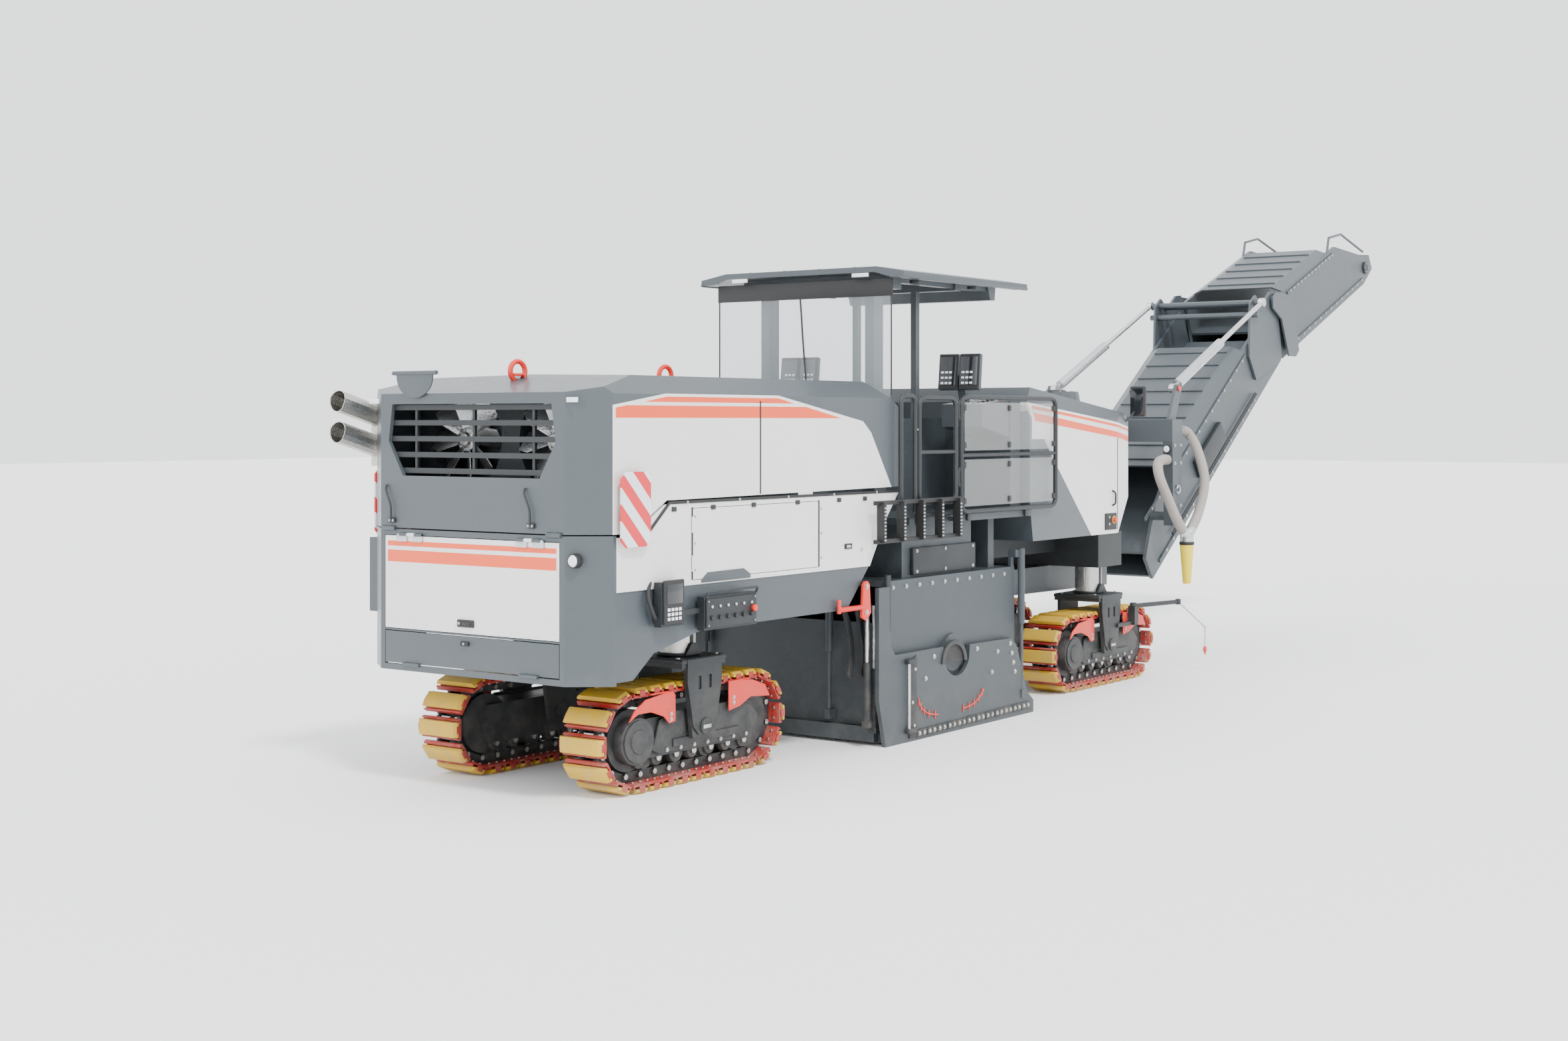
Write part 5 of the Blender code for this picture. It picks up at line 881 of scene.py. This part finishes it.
def build_railings():
    """Bent tube rails with clear panels in black clamps, and swinging gates."""
    for hand, side in SIDES:
        y = side * 1.3
        fixed = painted("dark paint", rail_frame(y, 3.19, 4.86, 1.955, 2.99, 2.464),
                rail_frame(y, 2.245, 2.457, 1.955, 2.99, corner=0.06),
                pipe([(2.457, y, 1.955), (3.19, y, 1.955)], 0.02, fine=3),
                [block((x, x + 0.06), span(side, 1.278, 1.3), (1.872, 1.955), 0.004)
                for x in (2.5, 3.3, 4.3)], [block((3.145, 3.19), (y - 0.006, y + 0.006),
                (z - 0.02, z + 0.02), 0.003) for z in (2.2, 2.34, 2.8, 2.94)],
                [bar((3.145, y, z), (3.145, y, z + 0.14), 0.013, 14, edge=0.002)
                for z in (2.2, 2.8)])
        for z0, z1 in ((2.0, 2.425), (2.505, 2.945)):
            fixed += painted("clear panel", block((3.245, 4.805), (y - 0.004, y + 0.004), (z0, z1), 0.002, 1))
            clamps = [block((x - 0.022, x + 0.022), (y - 0.016, y + 0.016), (z - 0.026, z + 0.026), 0.005)
                      for x in (3.235, 4.0, 4.815) for z in (z0 + 0.05, z1 - 0.05)]
            fixed += painted("black plastic", clamps)
        done(fixed, f"guard_rail_{hand}", "machine", replaces=[f"railing_{hand}"])
        swing = painted("dark paint", rail_frame(y, 2.52, 3.1, 2.05, 2.98, 2.5),
                [block((3.1, 3.145), (y - 0.006, y + 0.006), (z + 0.055, z + 0.085), 0.003)
                for z in (2.2, 2.8)])
        swing += painted("steel", bar((2.52, y, 2.7), (2.485, y, 2.7), 0.01, 14, edge=0.002))
        done(swing, f"gate_frame_{hand}", f"gate_{hand}", replaces=[f"gate_{hand}"])
        treads = []
        for number in range(5):
            x = 1.85 + 0.29 * number
            treads += painted("silver metal", [block((x + 0.002, x + 0.028), span(side, 1.392, 1.412),
                    (z, z + 0.012), 0.002) for z in (1.765 + 0.03 * k for k in range(10))])
        done(treads, f"ladder_treads_{hand}", f"ladder_{hand}")


def build_platform():
    """Displays, desk buttons, levers and the box under the deck."""
    parts = []
    for _, side in SIDES:
        for inner, outer in ((0.735, 0.915), (0.965, 1.155)):
            parts += painted("black plastic", plate([(3.668, 3.078), (3.678, 3.076), (3.71, 3.39),
                    (3.7, 3.392)], "Y", *span(side, inner - 0.01, outer + 0.01), 0.002))
            parts += painted("screen", plate([(3.666, 3.11), (3.67, 3.109), (3.697, 3.372),
                    (3.693, 3.373)], "Y", *span(side, inner, outer), 0.001))
            parts += painted("lamp glass", [plate([(3.6645 + 0.1 * t, 3.12 + t),
                    (3.6665 + 0.1 * t, 3.12 + t), (3.6685 + 0.1 * t, 3.138 + t),
                    (3.6665 + 0.1 * t, 3.138 + t)], "Y", *span(side, inner + 0.02 + 0.045 * c,
                    inner + 0.05 + 0.045 * c), 0.0005) for t in (0.0, 0.05, 0.1) for c in range(3)])
        for k in range(5):
            x = 3.8 + 0.08 * k
            z = 2.93 + 0.05 * (x - 3.74) / 0.5
            parts += painted("silver metal", bar((x, side * 0.86, z - 0.006),
                    (x, side * 0.86, z + 0.018), 0.014, 16, edge=0.003))
            parts += painted("black plastic", bar((x, side * 1.04, z - 0.006),
                    (x, side * 1.04, z + 0.014), 0.018, 16, edge=0.003))
        parts += painted("guard red", bar((4.18, side * 1.1, 2.965), (4.18, side * 1.1, 3.01), 0.028,
                22, edge=0.005))
        parts += painted("black plastic", bar((4.02, side * 0.78, 2.94), (4.02, side * 0.78, 3.06),
                0.012, 14, 0.016, edge=0.003))
        parts += painted("dark paint", block((2.595, 3.6), span(side, 1.15, 1.19), (1.42, 1.66), 0.01))
        parts += painted("steel", bolts([(x, side * 1.19, z) for x in (2.65, 3.1, 3.55)
                for z in (1.45, 1.63)], (0, side, 0), 0.011, 0.008))
    done(parts, "platform_fittings", "machine")


def build_canopy():
    """Rear glass with its dark band, wiper, roof edge trim, lamps and ribs."""
    parts = painted("tinted glass", block((2.545, 2.551), (-0.98, 0.98), (2.99, 3.99), 0.002, 1))
    parts += painted("black plastic", block((2.541, 2.556), (-1.0, 1.0), (3.88, 4.035), 0.004),
                     pipe([(2.535, 0.02, 3.88), (2.528, -0.02, 3.45), (2.528, -0.06, 3.05)], 0.008, 0.05))
    parts += painted("dark paint", [pipe([(2.548, y, 3.0), (2.548, y, 3.98)], 0.007)
            for y in (-0.985, 0.985)])
    for _, side in SIDES:
        parts += painted("grey paint", block((2.485, 4.565), span(side, 1.14, 1.166), (4.03, 4.062), 0.008))
        parts += painted("lamp glass", block((2.478, 2.492), span(side, 0.6, 0.78), (4.05, 4.085), 0.004))
        parts += painted("black plastic", [bar((x, side * 0.95, 4.01), (x, side * 0.95, 4.04), 0.045,
                22, edge=0.004) for x in (2.95, 3.9)])
    parts += painted("grey paint", [block((2.52, 4.52), (y - 0.012, y + 0.012), (4.138, 4.146), 0.003)
            for y in (-0.6, -0.2, 0.2, 0.6)])
    done(parts, "canopy_fittings", "canopy")


# ---- front body ----
def build_front():
    """Seam, stop panel, grab handle, mirror, dome caps and the telescopic beam."""
    parts = []
    for _, side in SIDES:
        parts += painted("black plastic", block((6.195, 6.207), span(side, 1.2495, 1.2515),
                (1.66, 2.6), 0.0))
        parts += painted("dark paint", pipe([(6.1, side * 1.245, 2.06), (6.1, side * 1.285, 2.04),
                (6.1, side * 1.285, 1.925), (6.1, side * 1.245, 1.905)], 0.01, 0.02))
        parts += painted("black plastic", block((5.93, 6.17), span(side, 1.249, 1.262), (1.66, 1.83), 0.006))
        parts += painted("guard red", bar((6.11, side * 1.26, 1.76), (6.11, side * 1.29, 1.76), 0.026,
                22, edge=0.004))
        parts += painted("pad yellow", bar((6.11, side * 1.259, 1.76), (6.11, side * 1.266, 1.76),
                0.04, 22, edge=0.002))
        parts += painted("silver metal", [bar((6.0, side * 1.26, z), (6.0, side * 1.272, z), 0.013,
                16, edge=0.002) for z in (1.72, 1.79)])
        parts += painted("dark paint", bar((6.05, side * 0.6, 3.078), (6.05, side * 0.6, 3.098), 0.12,
                28, 0.1, edge=0.006))
        parts += painted("steel", bolts(circle((6.05, side * 0.6, 3.08), 0.185, "Z", 8), (0, 0, 1),
                0.01, 0.008))
        parts += painted("dark paint", pipe([(6.45, side * 1.1, 2.7), (6.55, side * 1.2, 2.8),
                (6.6, side * 1.28, 2.92)], 0.012, 0.05))
        parts += painted("black plastic", block((6.575, 6.625), span(side, 1.19, 1.37), (2.82, 3.14), 0.018))
        parts += painted("screen", block((6.57, 6.577), span(side, 1.205, 1.355), (2.84, 3.12), 0.003))
    done(parts, "front_fittings", "machine")
    beam = []
    for _, side in SIDES:
        beam += painted("chrome", bar((5.3, side * 0.3, 1.585), (6.28, side * 0.3, 1.585), 0.028, 24,
                edge=0.003))
        beam += painted("dark paint", bar((4.67, side * 0.3, 1.585), (5.4, side * 0.3, 1.585), 0.03,
                24, edge=0.004))
    done(beam, "conveyor_rams", "machine")


# ---- conveyor ----
def at_lower(u, n):
    return turned((u, n), LOWER_TURN, LIFT)


FOLD = at_lower(4.1, 0.26)


def at_upper(v, m):
    return turned((v, m), UPPER_TURN, FOLD)


def conveyor_bolts(place, first, last, height, count, side, out):
    spots = [place(first + (last - first) * k / (count - 1), height) for k in range(count)]
    return bolts([(x, side * out, z) for x, z in spots], (0, side, 0), 0.013, 0.01)


def build_conveyor():
    """Flanges, bolt rows, cover ridges, boxes and tubes of both conveyor sections, with their belts."""
    lower, upper = [], []
    for _, side in SIDES:
        for height in (-0.5, 0.1):
            outline = [at_lower(*p) for p in ((-0.2, height - 0.02), (3.08, height - 0.02),
                    (3.08, height + 0.02), (-0.2, height + 0.02))]
            lower += painted("grey paint", plate(outline, "Y", *span(side, 0.638, 0.656), 0.004))
            lower += painted("steel", conveyor_bolts(at_lower, 0.0, 2.95, height, 15, side, 0.656))
        box_line = [at_lower(*p) for p in ((1.15, -0.34), (1.95, -0.34), (1.95, -0.1), (1.15, -0.1))]
        lower += painted("dark paint", plate(box_line, "Y", *span(side, 0.64, 0.7), 0.01))
        lower += painted("rubber", pipe([(x, side * 0.672, z) for x,
                z in (at_lower(u, -0.42) for u in (0.2, 1.0, 2.0, 3.0))], 0.014))
        for height, top in ((-0.76, 3.1), (-0.1, 2.2)):
            outline = [at_upper(*p) for p in ((0.55, height - 0.018), (top, height - 0.018),
                    (top, height + 0.018), (0.55, height + 0.018))]
            upper += painted("grey paint", plate(outline, "Y", *span(side, 0.638, 0.654), 0.004))
            upper += painted("steel", conveyor_bolts(at_upper, 0.65, top - 0.05, height, 13, side, 0.654))
    for k in range(9):
        u = 0.72 + 0.275 * k
        x, z = at_lower(u, 0.262)
        lower += painted("grey paint", bar((x, -0.5, z), (x, 0.5, z), 0.01, 10, edge=0.002))
    for k in range(5):
        v = 0.58 + 0.3 * k
        x, z = at_upper(v, 0.036)
        upper += painted("grey paint", bar((x, -0.48, z), (x, 0.48, z), 0.009, 10, edge=0.002))
    x, z = at_upper(3.24, -0.64)
    upper += painted("belt rubber", bar((x, -0.56, z), (x, 0.56, z), 0.176, 40, edge=0.006))
    for _, side in SIDES:
        upper += painted("dark paint", bar((x, side * 0.638, z), (x, side * 0.668, z), 0.085, 28, edge=0.006))
        upper += painted("steel", bolts(circle((x, side * 0.668, z), 0.062, "Y", 6), (0, side, 0),
                0.01, 0.008, False))
    done(lower, "lower_conveyor_fittings", "conveyor_lower")
    done(upper, "upper_conveyor_fittings", "conveyor_upper")


# ---- dust hoses and sensor arm ----
HOSE_JOINT = (8.17, -1.06, 1.5)
HOSE_RADIUS = 0.058
HOSES = {"inner": [(8.07, -1.06, 1.545), (7.9, -1.06, 1.7), (7.72, -1.04, 1.95), (7.66, -0.98, 2.16),
        (7.78, -0.9, 2.3), (7.94, -0.88, 2.34), (8.045, -0.88, 2.34)],
        "outer": [(8.27, -1.06, 1.545), (8.48, -1.06, 1.76), (8.58, -1.08, 2.1), (8.56, -1.0, 2.44),
        (8.49, -0.92, 2.63), (8.38, -0.88, 2.67), (8.306, -0.88, 2.67)],}


def build_hoses():
    """Ribbed dust hoses that meet in a silver joint over the yellow spout."""
    for kind, points in HOSES.items():
        count = 132
        route = spline_route(points, count)
        curve = bpy.data.curves.new(f"hose_{kind}", "CURVE")
        curve.dimensions = "3D"
        curve.bevel_depth = HOSE_RADIUS
        curve.bevel_resolution = 4
        curve.use_fill_caps = True
        line = curve.splines.new("POLY")
        line.points.add(count)
        for k, (place, point) in enumerate(zip(line.points, route)):
            place.co, place.radius = (*point, 1.0), 1.0 if k % 2 else 0.9
        holder = bpy.data.objects.new(curve.name, curve)
        bpy.context.scene.collection.objects.link(holder)
        piece = done(painted("hose cloth", meshed(holder)), f"dust_hose_{kind}", "swivel_frame",
                replaces=["dust_hoses"], smooth=60)
    x, y, z = HOSE_JOINT
    joint = painted("silver metal", bar((x, y, z - 0.1), (x, y, z + 0.005), 0.075, 28, edge=0.005),
                    bar((x, y, z - 0.02), (x - 0.115, y, z + 0.055), 0.06, 26, edge=0.004),
                    bar((x, y, z - 0.02), (x + 0.115, y, z + 0.055), 0.06, 26, edge=0.004))
    joint += painted("safety yellow", bar((x, y, 1.4), (x, y, 0.95), 0.08, 28, 0.046, edge=0.004))
    joint += painted("black plastic", bar((x, y, 1.385), (x, y, 1.42), 0.084, 28, edge=0.004))
    done(joint, "hose_joint", "swivel_frame")


def build_gantry():
    """Bolts, lamps, shackle and red pin ends of the swivel frame."""
    parts = []
    for _, side in SIDES:
        face = side * GANTRY_FACE
        parts += painted("steel", bolts([(x, face, z) for x in (8.11, 8.25)
                for z in (1.68, 1.82, 2.3, 2.5)], (0, side, 0), 0.015, 0.012))
        parts += painted("black plastic", bar((8.045, side * 0.88, 2.46), (8.02, side * 0.88, 2.46),
                0.045, 24, edge=0.004))
        parts += painted("lamp glass", bar((8.022, side * 0.88, 2.46), (8.01, side * 0.88, 2.46),
                0.038, 24, 0.03, edge=0.003))
        parts += painted("silver metal", pipe(circle((8.17, face + side * 0.014, 2.0), 0.04, "Y", 16,
                200, 320), 0.009), bar((8.14, face + side * 0.01, 2.045),
                (8.2, face + side * 0.01, 2.045), 0.01, 12, edge=0.002))
        parts += painted("guard red", bar((8.38, side * 0.852, 3.145), (8.38, side * 0.87, 3.145),
                0.032, 22, edge=0.004))
    done(parts, "gantry_fittings", "swivel_frame")


def build_sensor_arm():
    """Swing arm with its folded rod, chain and red plumb."""
    pivot, elbow, tip = (6.9, -1.06, 0.8), (7.6, -1.24, 0.8), (8.2, -1.27, 0.47)
    parts = painted("dark paint", bar(pivot, elbow, 0.024, 18, edge=0.003),
            bar((6.9, -1.06, 0.765), (6.9, -1.06, 0.835), 0.036, 22, edge=0.004),
            bar((7.6, -1.24, 0.77), (7.6, -1.24, 0.83), 0.03, 20, edge=0.004))
    parts += painted("steel", bar(elbow, tip, 0.008, 12), bar((8.2, -1.27, 0.462),
            (8.2, -1.27, 0.482), 0.012, 12, edge=0.002))
    for k in range(6):
        z = 0.452 - 0.034 * k
        ring = circle((8.2, -1.27, z), 0.012, "X" if k % 2 else "Y", 10)
        parts += painted("steel", pipe([(x, y, z + (h - z) * 1.6) for x, y, h in ring], 0.0035,
                closed=True, fine=1))
    parts += painted("guard red", bar((8.2, -1.27, 0.255), (8.2, -1.27, 0.215), 0.016, 20, 0.024,
            edge=0.003), bar((8.2, -1.27, 0.216), (8.2, -1.27, 0.163), 0.024, 20, 0.005))
    done(parts, "depth_sensor_arm", "sensor_arm", replaces=["sensor_arm"])


# ---- stage ----
def build_stage(stage):
    """Pale floor, soft key and fill lights, and the camera at the view from the rear right."""
    bare()
    bpy.ops.mesh.primitive_plane_add(size=220)
    floor = bpy.context.object
    floor.name = "floor"
    surface = bpy.data.materials.new("studio floor")
    surface.use_nodes = True
    shader = surface.node_tree.nodes["Principled BSDF"]
    shader.inputs["Base Color"].default_value = (stage.floor_tone,) * 3 + (1.0,)
    shader.inputs["Roughness"].default_value = 0.9
    floor.data.materials.append(surface)
    world = bpy.data.worlds.new("studio")
    bpy.context.scene.world = world
    world.use_nodes = True
    sky = world.node_tree.nodes["Background"]
    sky.inputs[0].default_value = (0.96, 0.98, 1.0, 1.0)
    sky.inputs[1].default_value = stage.sky_strength
    for name, turn, strength, soft in (("key", (38, 0, -22), stage.key_strength, 9),
            ("fill", (62, 0, -95), stage.key_strength * 0.35, 40)):
        sun = bpy.data.lights.new(name, "SUN")
        sun.energy, sun.angle = strength, math.radians(soft)
        holder = bpy.data.objects.new(name, sun)
        holder.rotation_euler = [math.radians(a) for a in turn]
        bpy.context.scene.collection.objects.link(holder)
    lens = bpy.data.cameras.new("camera")
    lens.lens, lens.sensor_width, lens.shift_x, lens.shift_y = 44.27, 36.0, -0.1152, -0.0632
    lens.clip_end = 400.0
    camera = bpy.data.objects.new("camera", lens)
    camera.location = (-17.964, -10.82, 2.77)
    camera.rotation_euler = (math.radians(90.0), 0.0, math.radians(-56.82))
    bpy.context.scene.collection.objects.link(camera)
    bpy.context.scene.camera = camera


# ---- add-on ----
class PlanerLooks(bpy.types.PropertyGroup):
    white: FloatVectorProperty(name="Panel white", description="Colour of the large side panels",
            subtype="COLOR", size=3, default=(0.78, 0.77, 0.75))
    orange: FloatVectorProperty(name="Stripe orange", description="Colour of the stripes",
            subtype="COLOR", size=3, default=(0.88, 0.085, 0.008))
    grey: FloatVectorProperty(name="Body grey", description="Colour of hood, roof and conveyor",
            subtype="COLOR", size=3, default=(0.06, 0.074, 0.084))
    dark: FloatVectorProperty(name="Chassis dark", description="Colour of frame and crawlers",
            subtype="COLOR", size=3, default=(0.022, 0.026, 0.029))


class PlanerStage(bpy.types.PropertyGroup):
    floor_tone: FloatProperty(name="Floor tone", description="How light the floor is", subtype="FACTOR",
            default=0.9, min=0.0, max=1.0)
    key_strength: FloatProperty(name="Key light", description="Strength of the main light", default=3.0,
            min=0.0)
    sky_strength: FloatProperty(name="Sky light", description="Strength of the light from all round",
            default=2.1, min=0.0)


class PLANER_OT_finishes(bpy.types.Operator):
    """Make the finishes and give each node of the frame its own."""
    bl_idname = "planer.finishes"
    bl_label = "Finishes"

    def execute(self, context):
        make_materials(context.scene.planer_looks)
        dress_frame()
        return {"FINISHED"}


class PLANER_OT_stage(bpy.types.Operator):
    """Set up the floor, the lights and the camera."""
    bl_idname = "planer.stage"
    bl_label = "Stage"

    def execute(self, context):
        build_stage(context.scene.planer_stage)
        return {"FINISHED"}


class PLANER_OT_crawlers(bpy.types.Operator):
    """Build shoes, running gear, guards, yokes and columns of the four crawlers."""
    bl_idname = "planer.crawlers"
    bl_label = "Crawlers"

    def execute(self, context):
        build_tracks()
        build_undercarriage()
        return {"FINISHED"}


class PLANER_OT_engine_end(bpy.types.Operator):
    """Build fans, hood fittings, rear door fittings and lower panel fittings."""
    bl_idname = "planer.engine_end"
    bl_label = "Engine end"

    def execute(self, context):
        build_fans()
        build_hood()
        build_rear()
        build_side_panels()
        build_controls()
        return {"FINISHED"}


class PLANER_OT_milling_unit(bpy.types.Operator):
    """Build side plate fittings, levers, lines and drum picks."""
    bl_idname = "planer.milling_unit"
    bl_label = "Milling unit"

    def execute(self, context):
        build_side_plates()
        build_drum_unit()
        build_drum_teeth()
        return {"FINISHED"}


class PLANER_OT_platform(bpy.types.Operator):
    """Build railings, gates, ladder treads, desks and the canopy's glass."""
    bl_idname = "planer.platform"
    bl_label = "Operator platform"

    def execute(self, context):
        build_railings()
        build_platform()
        build_canopy()
        return {"FINISHED"}


class PLANER_OT_front(bpy.types.Operator):
    """Build the fittings of the front body."""
    bl_idname = "planer.front"
    bl_label = "Front body"

    def execute(self, context):
        build_front()
        return {"FINISHED"}


class PLANER_OT_conveyor(bpy.types.Operator):
    """Build conveyor fittings, gantry, dust hoses and sensor arm."""
    bl_idname = "planer.conveyor"
    bl_label = "Conveyor"

    def execute(self, context):
        build_hoses()
        build_gantry()
        build_conveyor()
        build_sensor_arm()
        return {"FINISHED"}


OPERATORS = (PLANER_OT_finishes, PLANER_OT_stage, PLANER_OT_crawlers, PLANER_OT_engine_end,
        PLANER_OT_milling_unit, PLANER_OT_platform, PLANER_OT_front, PLANER_OT_conveyor)


class PLANER_PT_panel(bpy.types.Panel):
    """Colours, light and one button for each step."""
    bl_idname = "PLANER_PT_panel"
    bl_label = "Cold planer"
    bl_space_type = "VIEW_3D"
    bl_region_type = "UI"
    bl_category = "Planer"

    def draw(self, context):
        for group_of in (context.scene.planer_looks, context.scene.planer_stage):
            for prop in group_of.__annotations__:
                self.layout.prop(group_of, prop)
        for operator in OPERATORS:
            self.layout.operator(operator.bl_idname)


CLASSES = (PlanerLooks, PlanerStage, *OPERATORS, PLANER_PT_panel)


def register():
    for one in CLASSES:
        bpy.utils.register_class(one)
    bpy.types.Scene.planer_looks = PointerProperty(type=PlanerLooks)
    bpy.types.Scene.planer_stage = PointerProperty(type=PlanerStage)


def unregister():
    del bpy.types.Scene.planer_stage
    del bpy.types.Scene.planer_looks
    for one in reversed(CLASSES):
        bpy.utils.unregister_class(one)


def main():
    register()
    for step in (bpy.ops.planer.finishes, bpy.ops.planer.stage, bpy.ops.planer.crawlers,
            bpy.ops.planer.engine_end, bpy.ops.planer.milling_unit, bpy.ops.planer.platform,
            bpy.ops.planer.front, bpy.ops.planer.conveyor):
        step()


if __name__ == "__main__":
    main()
